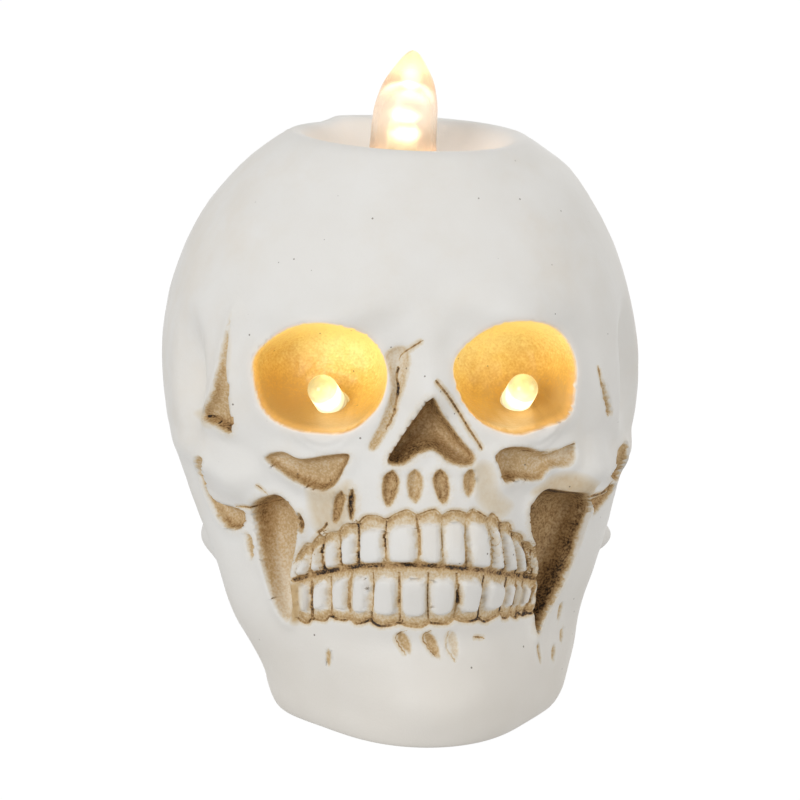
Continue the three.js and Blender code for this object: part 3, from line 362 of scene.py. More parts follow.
# An almond from its top to its foot
def almond(top, foot, half):
    top, along = np.array(top, float), np.array(foot, float) - top
    across = np.array([along[1], -along[0]]) / np.hypot(*along) * half
    widest, blunt = carving['almond']
    ways = [(t, 1) for t in (0, .2, .4, .6, .8)] + [(t, -1) for t in (1, .8, .6, .4, .2)]
    return [top + along * t + side * across * math.sin(math.pi * t**widest)**blunt for t, side in ways]


# The gum line: an arch over each tooth between the lines beside it
def gumLine(row):
    ends = np.array([line[0] for line in teeth[row]], float)
    mean, swing = teeth['archUneven']
    points = []
    for i, (a, b) in enumerate(zip(ends[:-1], ends[1:])):
        points.append(a)
        for step, at in zip((0, 2), teeth['archAt']):
            rise = teeth['arch'][row] * (mean + swing * math.sin(5 * i + step))
            points.append(a + (b - a) * at + (0, rise))
    return points + [ends[-1]]


# The rounded outline of a crown between two lines, leaving bare bed at the gum, the bite and the sides
def toothOutline(lineA, lineB, gumRoom, biteRoom):
    (gumA, biteA), (gumB, biteB) = np.array(lineA, float), np.array(lineB, float)
    wide = np.hypot(*(gumB - gumA))
    aside = (gumB - gumA) / wide
    spare = min(teeth['sideRoom'], teeth['sideShare'] * wide)
    points = []
    for turn in np.linspace(0, 2 * math.pi, teeth['outlinePoints'], endpoint=False):
        wave = np.array([math.cos(turn), math.sin(turn)])
        u, v = (1 + np.sign(wave) * np.abs(wave)**teeth['square']) / 2
        gum, bite = gumA + (gumB - gumA) * u, biteA + (biteB - biteA) * u
        spot = gum + (bite - gum) * v
        along = (bite - gum) / np.hypot(*(bite - gum))
        points.append(spot + along * ((1 - v) * gumRoom - v * biteRoom) + aside * (1 - 2 * u) * spare)
    return points


# Soft noise at points, in layers of a size and a height
def layered(points, layers):
    return np.array([sum(noise.noise(Vector(p) / size) * height for size, height in layers) for p in points])


# Cuts the face into the plain head and marks where the wash and the painted shade lie
def carve(base, normal):
    moved = base.copy()
    marks = {name: np.full(len(base), float(rest)) for name, rest in skull['marks'].items()}
    onLine = np.zeros(len(base), bool)

    def markHollow(index, signed, tone):
        more = signed > marks['hollow'][index]
        at = index[more]
        marks['hollow'][at], marks['tone'][at] = signed[more], tone[more]

    def markLine(index, signed, width, tone):
        far = np.abs(signed)
        more = width - far > marks['lineWidth'][index] - marks['lineFar'][index]
        at = index[more]
        marks['line'][at], marks['lineFar'][at] = signed[more], far[more]
        marks['lineWidth'][at], marks['lineTone'][at] = width, tone

    # Distance to a line, above nought inside it or to its left. Points close to it slide over the surface
    # onto it, so that its edge is crisp
    def slide(index, flat, across, into, line, closed):
        far, spot, inside = nearest(flat, line, closed)
        near = (far < carving['snap']) & ~onLine[index]
        onLine[index[near]] = True
        shift = (spot - flat)[near]
        step = shift[:, :1] * across + shift[:, 1:] * upward
        way = normal[index[near]]
        lean = np.minimum(way @ into, carving['steepest'])
        moved[index[near]] += step - ((step * way).sum(1) / lean)[:, None] * into
        far = np.where(near, 0, far)
        return np.where(inside, far, -far)

    def cutHollow(turn, depth, wall, tone, deepens, outline, lampSpot=None):
        isSocket = lampSpot is not None
        line = spline(outline, True)
        reach = carving['socketReach' if isSocket else 'reach']
        laid = laidFlat(base, turn, line, reach)
        index, flat, _, into = laid
        signed = slide(*laid, line, True)
        way, more = math.radians(deepens[0]), deepens[1]
        run = (line - line.mean(0)) @ (math.cos(way), math.sin(way))
        along = ((flat - line.mean(0)) @ (math.cos(way), math.sin(way)) - run.min()) / np.ptp(run)
        share = 1 - more * (1 - np.clip(along, 0, 1))
        if isSocket:
            bowl, lip, lipWidth = (carving[name] for name in ('socketBowl', 'socketLip', 'socketLipWidth'))
        else:
            bowl, lipWidth = carving['bowl'], carving['lipWidth']
            lip = carving['lip'] * min(depth, carving['lipDepth'])
        drop = depth * share * (1 - (1 - np.clip(signed / wall, 0, 1))**bowl)
        drop -= lip * np.exp(-(signed / lipWidth)**2)
        if isSocket:
            awayFrom = np.hypot(*(flat - np.array(lampSpot) * drawn).T)
            for radius, rise, wide in carving['ripples']:
                drop -= rise * np.exp(-((awayFrom - radius) / wide)**2)
            marks['socket'][index] = np.maximum(marks['socket'][index], signed)
        else:
            # the wash darkens by the wall, partly wash and partly painted shade where the wall lies in shade
            floorTone, wallShadeAndWash, place, wide = carving['edgeShadeAndWash']
            edge = floorTone + wallShadeAndWash * np.exp(-((signed - place) / wide)**2)
            shallow = carving['shallowTone']
            markHollow(index, signed, tone * (shallow + (1 - shallow) * share) * edge)
        moved[index] += drop[:, None] * into

    # Washes an open line and tells how deep it cuts
    def groove(laid, line, width, depth, tone, spread):
        signed = slide(*laid, line, False)
        markLine(laid[0], signed, width, tone)
        return depth * (1 - smooth(np.abs(signed), 0, spread * width + carving['lineEdge']))

    def cutCrack(turn, width, depth, tone, points):
        line = spline(points, False)
        laid = laidFlat(base, turn, line, carving['lineReach'])
        index, _, _, into = laid
        drop = groove(laid, line, width, depth, tone, carving['crackSpread'])
        moved[index] += drop[:, None] * into

    # Lays a soft patch of wash for a stain, and for the painted shadow under the right cheekbone
    def layShadowAndStain(turn, tone, outline):
        line = spline(outline, True)
        index, flat = laidFlat(base, turn, line, carving['lineReach'])[:2]
        amount = tone * smooth(signedDistance(flat, line), *carving['shadowAndStainFade'])
        marks['stain'][index] = np.maximum(marks['stain'][index], amount)

    def cutTeeth():
        upper, lower = gumLine('upper'), gumLine('lower')
        band = np.vstack([spline(upper, False), spline(lower, False)[::-1]])
        laid = laidFlat(base, 0, band, carving['lineReach'])
        index, flat = laid[:2]
        inBand = signedDistance(flat, band)
        onTooth = np.full(len(index), -np.inf)
        for row in ('upper', 'lower'):
            for lines in zip(teeth[row][:-1], teeth[row][1:]):
                crown = spline(toothOutline(*lines, *teeth['room'][row]), True, teeth['steps'])
                onTooth = np.maximum(onTooth, slide(*laid, crown, True))
        rise = teeth['bed'] * smooth(inBand, *teeth['bedEdge'])
        rise += teeth['stand'] * smooth(onTooth, *teeth['edge'])
        rise += teeth['crown'] * (1 - (1 - np.clip(onTooth / teeth['crownWidth'], 0, 1))**2)
        toBite = nearest(flat, spline(teeth['bite'], False), False)[0]
        # wash with painted shade, darkest at the gum lines and the bite
        shadeAndWashByGum = np.exp(-(np.minimum(inBand, toBite) / teeth['gumShadeAndWashWidth'])**2)
        ragged = layered(base[index], teeth['ragged'])
        markHollow(index, np.minimum(inBand, ragged - onTooth), teeth['bedTone'] + teeth['gumShadeAndWashTone'] * shadeAndWashByGum)

        grooves = [(points, *teeth['grooves'][name]) for name, points in
                   (('gumUpper', upper), ('bite', teeth['bite']), ('gumLower', lower))]
        width, depth, tone = teeth['grooves']['gaps']
        uneven = teeth['gapUneven']
        for i, (gum, bite) in enumerate(teeth['upper'][1:-1] + teeth['lower'][1:-1]):
            halfway = (np.array(gum) + bite) / 2 + (uneven['wander'] * math.sin(4 * i + 1), 0)
            grooves.append(([gum, halfway, bite], width * (1 + uneven['width'] * math.sin(3 * i)), depth,
                            tone * (1 - uneven['tone'] + uneven['tone'] * math.sin(7 * i))))
        for points, *sizes in grooves:
            rise -= groove(laid, spline(points, False), *sizes, carving['grooveSpread'])
        moved[index] += rise[:, None] * normal[index]

    for name, hollow in hollows.items():
        cutHollow(*hollow, carving['lampSpots'].get(name))
    for turn, depth, tone, top, foot, half in streaks.values():
        cutHollow(turn, depth, carving['almondWall'] * half, tone, (0, 0), almond(top, foot, half))
    for crack in shadowAndCracks.values():
        cutCrack(*crack)
    for stain in shadowAndStains.values():
        layShadowAndStain(*stain)
    cutTeeth()
    inSocket = smooth(marks['socket'], *carving['hammeredFrom'])
    uneven = layered(base, carving['uneven'])
    uneven += carving['hammeredHeight'] * inSocket * layered(base, carving['hammered'])
    moved += uneven[:, None] * normal
    return moved, marks


# Even steps of a crowding curve
def crowded(stations, low, high, count, steps=4000):
    read = curve(stations)
    fine = np.linspace(low, high, steps)
    total = np.cumsum(read(np.abs(fine)))
    return np.interp(np.linspace(total[0], total[-1], count), total, fine)


# Names the mesh just made and reads where its vertices are
def newMesh(name):
    obj = bpy.context.object
    obj.name = obj.data.name = name
    spots = np.empty(len(obj.data.vertices) * 3)
    obj.data.vertices.foreach_get('co', spots)
    return obj, spots.reshape(-1, 3).T


# A ring whose cross section is a closed loop of rows, each vertex set to its place in the grid
def ringFromGrid(name, grid):
    columns, rows = grid.shape[:2]
    bpy.ops.object.select_all(action='DESELECT')
    majorRadius, minorRadius = 1, .4
    bpy.ops.mesh.primitive_torus_add(major_segments=columns, minor_segments=rows, major_radius=majorRadius,
                                     minor_radius=minorRadius, generate_uvs=False)
    obj, (x, y, z) = newMesh(name)
    column = np.rint(np.arctan2(y, x) / (2 * math.pi) * columns).astype(int) % columns
    row = np.rint(np.arctan2(z, np.hypot(x, y) - majorRadius) / (2 * math.pi) * rows).astype(int) % rows
    obj.data.vertices.foreach_set('co', (grid[column, row] * mm).ravel())
    obj.data.update()
    bpy.ops.object.shade_smooth()
    return obj, column, row


def levelRing(angle, radius, z, y):
    return np.stack([radius * np.sin(angle), y - radius * np.cos(angle), np.full_like(angle, z)], -1)


# The rounded edge on which the casting stands
def baseRows(angle):
    rows = []
    for share in skull['baseRows']:
        inset = skull['baseInset'] * (1 - math.sqrt(1 - (1 - share)**2))
        height = np.full_like(angle, share * skull['baseEdge'] / rimHeight)
        rows.append(swell(plainHead(angle, height, inset)))
    return rows


def dishRows(angle):
    rim = swell(plainHead(angle, np.ones_like(angle)))
    rows = []
    for reach in np.linspace(*skull['dishReach'], skull['dishRows']):
        spot = rim.copy()
        spot[:, 0] *= reach
        spot[:, 1] = dishY + (spot[:, 1] - dishY) * reach
        spot[:, 2] = rimHeight + (rim[:, 2] - rimHeight) * reach - rimCurve(reach) * skull['dishDepth']
        rows.append(spot)
    return rows


# The flame's hole, the hollow behind the face and the seat of the lamp module
def insideRows(angle):
    ceiling = dishFloor - skull['wall']
    levels = (dishFloor, dishFloor - skull['holeEdge'], ceiling)
    rows = [levelRing(angle, skull['holeRadius'], z, dishY) for z in levels]
    capTop = capHigh[2] + 2 * skull['seat']
    for z in np.linspace(ceiling, capTop, skull['insideRows']):
        spot = plainHead(angle, np.full_like(angle, z / rimHeight))
        radius = np.hypot(spot[:, 0], spot[:, 1])
        ahead = np.maximum(-spot[:, 1], tiny)
        limit = np.where(spot[:, 1] < 0, skull['faceBacking'] * radius / ahead, radius)
        kept = np.minimum(radius - skull['wall'], limit) / radius
        spot[:, :2] *= kept[:, None]
        rows.append(spot)
    moduleY = (plateLow[1] + plateHigh[1]) / 2
    capRadius = (capHigh[0] - capLow[0]) / 2 + skull['seat']
    plateRadius = (plateHigh[0] - plateLow[0]) / 2 + skull['seat']
    edge = skull['seatEdge']
    seat = [(capRadius, capTop), (capRadius, capLow[2]), (plateRadius, capLow[2]), (plateRadius, edge),
            (plateRadius + edge, 0)]
    return rows + [levelRing(angle, radius, z, moduleY) for radius, z in seat]


def makeSkull():
    spread = crowded(skull['columnCrowd'], -math.pi, math.pi, skull['columns'] + 1)[:-1]
    angle = np.roll(spread, -int(np.argmin(np.abs(spread))))  # from the middle of the face round
    top = skull['wallTop'] * rimHeight
    wall = crowded(skull['rowCrowd'], skull['baseEdge'], top, skull['wallRows']) / rimHeight
    wide, tall = np.meshgrid(angle, wall, indexing='ij')
    base = swell(plainHead(wide, tall))
    around = np.roll(base, -1, 0) - np.roll(base, 1, 0)
    up = np.gradient(base, axis=1)
    normal = np.cross(around, up)
    normal /= np.linalg.norm(normal, axis=-1, keepdims=True)
    carved, marks = carve(base.reshape(-1, 3), normal.reshape(-1, 3))
    carved = carved.reshape(base.shape)

    below = baseRows(angle)
    rows = below + list(carved.transpose(1, 0, 2)) + dishRows(angle) + insideRows(angle)
    room = skull['boxRoom']
    inBox = np.clip(np.stack(rows, 1), castLow + room * (castLow < 0), castHigh - room)
    obj, column, row = ringFromGrid('skull', inBox)
    wallRow = row - len(below)
    onWall = (wallRow >= 0) & (wallRow < len(wall))
    index = column * len(wall) + np.clip(wallRow, 0, len(wall) - 1)
    for name, values in marks.items():
        layer = obj.data.attributes.new(name, 'FLOAT', 'POINT')
        kept = np.where(onWall, values[index], skull['marks'][name])
        layer.data.foreach_set('value', kept.astype(np.float32))
    print('skull:', len(obj.data.vertices), 'vertices in', len(rows), 'rows')
    return obj


skullPiece = makeSkull()
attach(skullPiece, 'skull')
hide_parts('skull_casting')


# A turned piece from a ball: its rings take the profile's radius and height, from pole to pole
def turnedPiece(name, profile, segments):
    rings = len(profile) - 1
    bpy.ops.object.select_all(action='DESELECT')
    bpy.ops.mesh.primitive_uv_sphere_add(segments=segments, ring_count=rings, radius=1)
    obj, (x, y, z) = newMesh(name)
    row = np.rint((np.arcsin(np.clip(z, -1, 1)) / math.pi + .5) * rings).astype(int)
    radius, height = np.array(profile, float)[row].T
    angle = np.arctan2(y, x)
    return obj, np.stack([radius * np.cos(angle), radius * np.sin(angle), height], 1)


smoothAngle = math.radians(40)  # sharper edges stay crisp


def setSpots(obj, spots):
    obj.data.vertices.foreach_set('co', (spots * mm).ravel())
    obj.data.update()
    bpy.ops.object.shade_smooth_by_angle(angle=smoothAngle)


# Flame: a clear lens with a hollow inside, leaning towards its tip
lensLow, lensHigh = nodeBox('flame_lens')
flame = {
    'segments': 64, 'innerRings': 20, 'outerRings': 30, 'tipCrowd': 1.4,
    'flangeThickness': 1.2, 'flangeReach': 1.7, 'flangeEdge': .2, 'wall': 1.2, 'lean': 1.8, 'leanPower': 1.7,
    'outer': [(0, 1), (.1, .97), (.25, .94), (.4, .925), (.51, .905), (.61, .84), (.69, .765), (.76, .67),
              (.82, .55), (.88, .42), (.935, .29), (.975, .17), (.993, .08), (1, 0)],
    'inner': [(0, 1), (.3, 1), (.45, .94), (.55, .84), (.63, .66), (.69, .4), (.715, .18), (.72, 0)],
}


def makeFlame():
    flange = (lensHigh[0] - lensLow[0]) / 2
    radius = flange - flame['flangeReach']
    inside = radius - flame['wall']
    height = lensHigh[2] - dishFloor
    outer, inner = curve(flame['outer']), curve(flame['inner'])
    foot, edge = lensLow[2], flame['flangeEdge']
    top = foot + flame['flangeThickness']
    downInside = np.linspace(flame['inner'][-1][0], 0, flame['innerRings'])
    upOutside = 1 - np.linspace(1, 0, flame['outerRings'])**flame['tipCrowd']
    profile = [(inside * max(inner(h), 0), dishFloor + h * height) for h in downInside]
    profile += [(inside, foot), (flange - edge, foot), (flange, foot + edge), (flange, top - edge),
                (flange - edge, top), (radius, top)]
    profile += [(radius * max(outer(h), 0), dishFloor + h * height) for h in upOutside]
    profile[0] = (0, profile[0][1])
    profile[-1] = (0, profile[-1][1])
    obj, spots = turnedPiece('flame', profile, flame['segments'])
    rise = np.clip((spots[:, 2] - dishFloor) / height, 0, None)
    spots[:, 0] += flame['lean'] * rise**flame['leanPower']
    spots[:, 1] += dishY
    setSpots(obj, spots)
    return obj


flamePiece = makeFlame()
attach(flamePiece, 'skull')
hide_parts('flame_lens')
print('flame made')

# Lamps: domed, with a flange at the foot
lamp = {
    'segments': 40, 'radius': 2.5, 'length': 8.6, 'flange': .4, 'flangeHeight': 1.0,
    'footEdge': [(.3, 0), (.08, .08), (0, .3)],  # in from the flange's side and up from its foot
    'topEdge': [(0, .25), (.1, .06), (.25, 0)],  # in from its side and down from its top
    'fillet': (.08, .1), 'domeFrom': .16, 'domeRings': 10,
    'up': 40, 'out': {'left': -30, 'right': 15},
}


def makeLamp(name, foot, axis):
    r, length = lamp['radius'], lamp['length']
    wide, step = r + lamp['flange'], lamp['flangeHeight']
    filletOut, filletUp = lamp['fillet']
    profile = [(0, 0)]
    profile += [(wide - inset, z) for inset, z in lamp['footEdge']]
    profile += [(wide - inset, step - z) for inset, z in lamp['topEdge']]
    profile += [(r + filletOut, step), (r, step + filletUp), (r, length / 2), (r, length - r)]
    dome = np.linspace(lamp['domeFrom'], math.pi / 2, lamp['domeRings'])
    profile += [(r * math.cos(a), length - r + r * math.sin(a)) for a in dome]
    profile[-1] = (0, length)
    obj, spots = turnedPiece(name, profile, lamp['segments'])
    turn = np.array(Vector((0, 0, 1)).rotation_difference(Vector(axis)).to_matrix())
    setSpots(obj, spots @ turn.T + np.array(foot))
    return obj


lampPieces = {}
for side in ('left', 'right'):
    node = 'eye_led_' + side
    low, high = nodeBox(node)
    out, up = math.radians(lamp['out'][side]), math.radians(lamp['up'])
    axis = np.array([math.sin(out) * math.cos(up), -math.cos(out) * math.cos(up), math.sin(up)])
    # the node's box is the flange's disc at one end and the dome's ball at the other
    tip = np.where(axis > 0, high, low)
    dome = tip - np.sign(axis) * lamp['radius']
    foot = dome - axis * (lamp['length'] - lamp['radius'])
    piece = makeLamp('eye_lamp_' + side, foot, axis)
    lampPieces[side] = (piece, foot, axis)
    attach(piece, 'skull')
    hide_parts(node)
low, high = nodeBox('flame_led')
flameLampFoot = ((low[0] + high[0]) / 2, dishY, low[2])
flameLamp = makeLamp('flame_lamp', flameLampFoot, (0, 0, 1))
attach(flameLamp, 'skull')
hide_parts('flame_led')
print('lamps made')


# Materials
def newMaterial(name):
    material = bpy.data.materials.new(name)
    material.use_nodes = True
    tree = material.node_tree
    return material, tree, tree.nodes['Principled BSDF']


# Sets inputs of a node, each to a value or to another node's output
def setInputs(tree, node, inputs):
    for key, value in inputs.items():
        if isinstance(value, bpy.types.NodeSocket):
            tree.links.new(value, node.inputs[key])
        else:
            node.inputs[key].default_value = value


def addNode(tree, kind, inputs=None, **settings):
    node = tree.nodes.new('ShaderNode' + kind)
    for key, value in settings.items():
        setattr(node, key, value)
    setInputs(tree, node, inputs or {})
    return node


def sums(tree, operation, a, b=0.0, c=0.0):
    return addNode(tree, 'Math', {0: a, 1: b, 2: c}, operation=operation).outputs[0]


def ramped(tree, value, low, high, toLow=0.0, toHigh=1.0):
    return addNode(tree, 'MapRange', {0: value, 1: low, 2: high, 3: toLow, 4: toHigh},
                   interpolation_type='SMOOTHSTEP').outputs[0]


def noisy(tree, scale, detail=3.0, rough=.5):
    place = addNode(tree, 'TexCoord').outputs['Object']
    return addNode(tree, 'TexNoise', {'Vector': place, 'Scale': scale, 'Detail': detail,
                                      'Roughness': rough}).outputs['Fac']


def mixed(tree, factor, a, b):
    return addNode(tree, 'Mix', {0: factor, 6: a, 7: b}, data_type='RGBA').outputs[2]


# A colour as a screen shows it, 0 to 255, made linear
def rgb(red, green, blue):
    shares = [value / 255 for value in (red, green, blue)]
    return tuple(((v + .055) / 1.055)**2.4 if v > .04045 else v / 12.92 for v in shares) + (1,)


def colourRamp(tree, factor, stops):
    ramp = addNode(tree, 'ValToRGB', {'Fac': factor})
    bar = ramp.color_ramp
    while len(bar.elements) < len(stops):
        bar.elements.new(.5)
    for element, (place, colour) in zip(bar.elements, stops):
        element.position, element.color = place, colour
    return ramp.outputs['Color']


resin = {
    'plain': rgb(240, 239, 236), 'shaded': rgb(234, 231, 225), 'aged': rgb(231, 222, 208),
    'wash': [(0, rgb(240, 239, 236)), (.25, rgb(227, 215, 194)), (.45, rgb(206, 178, 134)),
             (.65, rgb(176, 141, 94)), (.85, rgb(120, 91, 55)), (1, rgb(42, 29, 17))],
    # the gold of the sockets is painted lamplight, pale where brightest and deeper where dimmer; the dull
    # brown is painted shade
    'paintedLitAmber': rgb(252, 238, 164), 'paintedDimAmber': rgb(210, 164, 76), 'dull': rgb(186, 150, 98),
    'halo': rgb(255, 190, 104), 'haloStrength': .06, 'haloReach': (-2.2, .1), 'haloFall': 2.2,
    'rimStrength': .22, 'rimPlace': .15, 'rimWidth': (.55, .05),
    # noise: scale, detail, roughness
    'broad': (130, 4), 'grain': (900, 4, .6), 'fine': (2600, 2), 'streaky': (420, 2), 'clouds': (45, 5, .65),
    'loose': (1.1, -.55),  # brings the grain about nought
    # edges of the wash: how ragged, from, to, strength
    'hollowEdge': (.22, -.35, .5, 1), 'hollowSkirt': (.8, -2.2, .3, .22), 'lineSkirt': (.5, 1.0, .05, .45),
    'socketEdge': (.2, -.15, .2, 1),
    'lineRagged': .16, 'lineOuter': (1.3, .08), 'lineInner': .4, 'lineReach': (.7, .4),
    # patches of the wash: noise from, to, strength from, to
    'grainPatches': (.25, .75, .86, 1.12), 'finePatches': (.3, .7, .82, 1.18),
    'linePatches': (.35, .65, .65, 1.1), 'shadowAndStainPatches': (.25, .75, .88, 1.12), 'washFrom': (.02, .12),
    'agedFoot': (.032, .004, 0, .45), 'agedClouds': (.45, .75, 0, .45),
    # painted lamplight in the sockets: brighter high up and towards the nose, with painted shade low and
    # outward
    'paintedLightSlant': -.2, 'speckle': (1.6, .005), 'paintedLightHeights': (.059, .071),
    'paintedShadeHeights': (.0625, .0565, 0, .7),
    'pinhole': rgb(84, 70, 54), 'pinholeTone': .75, 'pinholeScale': 400.0, 'pinholeSize': (.085, .05),
    'pinholeFrom': .68, 'pinholeFace': (-.012, -.03),
    'fineBump': .4, 'grainBump': .6, 'socketBump': 2.0, 'bump': {'Strength': .25, 'Distance': .00025},
    'roughness': (.3, .7, .56, .7), 'socketPolish': -.28, 'specular': .35,
}


def resinMaterial():
    material, tree, shader = newMaterial('resin')
    broad, grain, fine, streaky, clouds = (
        noisy(tree, *resin[name]) for name in ('broad', 'grain', 'fine', 'streaky', 'clouds'))
    loose = sums(tree, 'MULTIPLY_ADD', grain, *resin['loose'])

    def mark(name):
        return addNode(tree, 'Attribute', attribute_name=name).outputs['Fac']

    def times(a, b):
        return sums(tree, 'MULTIPLY', a, b)

    def ranged(value, name):
        return ramped(tree, value, *resin[name])

    # How much of the wash lies at a mark, with a ragged edge
    def reaching(name, ragged, start, end, most):
        return ramped(tree, sums(tree, 'MULTIPLY_ADD', loose, ragged, mark(name)), start, end, 0, most)

    inHollow = sums(tree, 'MAXIMUM', reaching('hollow', *resin['hollowEdge']),
                    reaching('hollow', *resin['hollowSkirt']))
    patchy = times(ranged(grain, 'grainPatches'), ranged(fine, 'finePatches'))
    hollowShadeAndWash = times(times(inHollow, mark('tone')), patchy)
    wavy = sums(tree, 'MULTIPLY_ADD', loose, resin['lineRagged'], sums(tree, 'ABSOLUTE', mark('line')))
    width = mark('lineWidth')
    core = ramped(tree, wavy, sums(tree, 'MULTIPLY_ADD', width, *resin['lineOuter']),
                  times(width, resin['lineInner']))
    core = times(core, ranged(mark('lineFar'), 'lineReach'))
    inLine = sums(tree, 'MAXIMUM', core, reaching('lineFar', *resin['lineSkirt']))
    inLine = times(inLine, ranged(streaky, 'linePatches'))
    lineWash = times(times(inLine, mark('lineTone')), patchy)
    # the stain mark holds stains and the painted shadow under the right cheekbone
    shadowAndStainWash = times(mark('stain'), ranged(grain, 'shadowAndStainPatches'))
    # the wash, with the painted shade and the painted shadow that ride on it
    wash = sums(tree, 'MAXIMUM', sums(tree, 'MAXIMUM', hollowShadeAndWash, lineWash), shadowAndStainWash)

    place = addNode(tree, 'TexCoord').outputs['Object']
    split = addNode(tree, 'SeparateXYZ', {'Vector': place})
    plain = mixed(tree, broad, resin['plain'], resin['shaded'])
    aged = sums(tree, 'MAXIMUM', ranged(clouds, 'agedClouds'), ranged(split.outputs['Z'], 'agedFoot'))
    plain = mixed(tree, aged, plain, resin['aged'])
    washed = colourRamp(tree, wash, resin['wash'])
    painted = mixed(tree, ranged(wash, 'washFrom'), plain, washed)

    inSocket = reaching('socket', *resin['socketEdge'])
    # sockets painted gold as the lamps' light: brighter high and towards the nose, duller brown as painted
    # shade low and outward, with a speckle
    aside = sums(tree, 'ABSOLUTE', split.outputs['X'])
    upper = sums(tree, 'MULTIPLY_ADD', aside, resin['paintedLightSlant'], split.outputs['Z'])
    fineShare, speckle = resin['speckle']
    paintedLightMask = sums(tree, 'MULTIPLY_ADD', sums(tree, 'MULTIPLY_ADD', fine, fineShare, grain), speckle, upper)
    paintedLitAmber = mixed(tree, ranged(paintedLightMask, 'paintedLightHeights'), resin['paintedDimAmber'], resin['paintedLitAmber'])
    paintedLitAmber = mixed(tree, ranged(paintedLightMask, 'paintedShadeHeights'), paintedLitAmber, resin['dull'])
    painted = mixed(tree, inSocket, painted, paintedLitAmber)

    # pinholes left by bubbles, on the face only
    cells = addNode(tree, 'TexVoronoi', {'Vector': place, 'Scale': resin['pinholeScale']})
    some = addNode(tree, 'SeparateColor', {'Color': cells.outputs['Color']})
    hole = times(ranged(cells.outputs['Distance'], 'pinholeSize'),
                 sums(tree, 'GREATER_THAN', some.outputs[0], resin['pinholeFrom']))
    hole = times(hole, ranged(split.outputs['Y'], 'pinholeFace'))
    painted = mixed(tree, times(hole, resin['pinholeTone']), painted, resin['pinhole'])

    # lamplight that soaks into the edge of a socket
    halo = sums(tree, 'POWER', ranged(mark('socket'), 'haloReach'), resin['haloFall'])
    fromRim = sums(tree, 'ABSOLUTE', sums(tree, 'SUBTRACT', mark('socket'), resin['rimPlace']))
    glow = sums(tree, 'MULTIPLY_ADD', ranged(fromRim, 'rimWidth'), resin['rimStrength'],
                times(halo, resin['haloStrength']))

    grainy = sums(tree, 'MULTIPLY_ADD', fine, resin['fineBump'], times(grain, resin['grainBump']))
    height = times(sums(tree, 'SUBTRACT', grainy, hole),
                   sums(tree, 'MULTIPLY_ADD', inSocket, resin['socketBump'], 1.0))
    bump = addNode(tree, 'Bump', {**resin['bump'], 'Height': height})
    matt = sums(tree, 'MULTIPLY_ADD', inSocket, resin['socketPolish'], ranged(broad, 'roughness'))
    setInputs(tree, shader, {
        'Base Color': painted, 'Roughness': matt, 'Specular IOR Level': resin['specular'],
        'Normal': bump.outputs[0], 'Emission Color': resin['halo'], 'Emission Strength': glow})
    return material


lensLook = {
    'tint': (1, .93, .85, 1), 'roughness': .26, 'bending': 1.46, 'stain': (1, .76, .5, 1), 'density': 160,
    'heights': (.0895, .109),
    'warm': [(0, (1, .66, .36, 1)), (.3, (1, .84, .56, 1)), (1, (1, .9, .6, 1))],
    'tip': (.1, .107, .26), 'foot': (.094, .0895, .26), 'body': .025,  # glow: from, to, strength
    # bright spots in mm: across, up, half width, half height, strength
    'spots': [(1.2, 105, 2, 2.6, .6), (.2, 98.8, 2.7, 1.3, .55), (.2, 95.9, 2.7, 1.7, .65)],
    'spotFade': (1.1, .3), 'clouds': 260, 'cloudy': (.3, .7, .8, 1.15),
}


def lensMaterial():
    material, tree, shader = newMaterial('clear flame')
    split = addNode(tree, 'SeparateXYZ', {'Vector': addNode(tree, 'TexCoord').outputs['Object']})
    x, height = split.outputs['X'], split.outputs['Z']
    warm = colourRamp(tree, ramped(tree, height, *lensLook['heights']), lensLook['warm'])
    start, end, most = lensLook['tip']
    tip = ramped(tree, height, start, end, 0, most)
    start, end, most = lensLook['foot']
    glow = sums(tree, 'ADD', tip, ramped(tree, height, start, end, lensLook['body'], most))
    for spotX, spotZ, wide, tall, most in lensLook['spots']:
        aside, above = (sums(tree, 'DIVIDE', sums(tree, 'SUBTRACT', at, centre * mm), size * mm)
                        for at, centre, size in ((x, spotX, wide), (height, spotZ, tall)))
        square = sums(tree, 'MULTIPLY_ADD', aside, aside, sums(tree, 'MULTIPLY', above, above))
        spot = ramped(tree, sums(tree, 'SQRT', square), *lensLook['spotFade'], 0, most)
        glow = sums(tree, 'ADD', glow, spot)
    cloudy = ramped(tree, noisy(tree, lensLook['clouds']), *lensLook['cloudy'])
    setInputs(tree, shader, {
        'Base Color': lensLook['tint'], 'Roughness': lensLook['roughness'], 'IOR': lensLook['bending'],
        'Transmission Weight': 1, 'Emission Color': warm,
        'Emission Strength': sums(tree, 'MULTIPLY', glow, cloudy)})
    stain = addNode(tree, 'VolumeAbsorption', {'Color': lensLook['stain'], 'Density': lensLook['density']})
    setInputs(tree, tree.nodes['Material Output'], {'Volume': stain.outputs[0]})
    return material


lampLook = {
    'glow': 3.0, 'body': (.12, .09, .04, 1), 'roughness': .12, 'clouds': 700, 'cloudy': (.3, .7, .85, 1.1),
    'core': (.0009, .0034, 1.9, .5), 'coreAlong': 4.4, 'coreAside': (0, -1.7, .2),  # bright spot of an eye
    # colour and strength along a lamp from its foot
    'eyeColours': [(0, (1, .66, .2, 1)), (.3, (1, .88, .52, 1)), (.6, (1, .88, .52, 1)),
                   (1, (1, .76, .28, 1))],
    'eyeStrengths': [(0, .3), (.1, .5), (.13, .28), (.18, .55), (.24, .4), (.3, .75), (.6, .72), (.7, .5),
                     (.74, .36), (1, .5)],
    'flameColours': [(0, (1, .68, .36, 1)), (.4, (1, .9, .6, 1)), (1, (1, .9, .62, 1))],
    'flameStrengths': [(0, .12), (.35, .25), (.55, .4), (.7, .45), (.8, .36), (1, .4)],
}


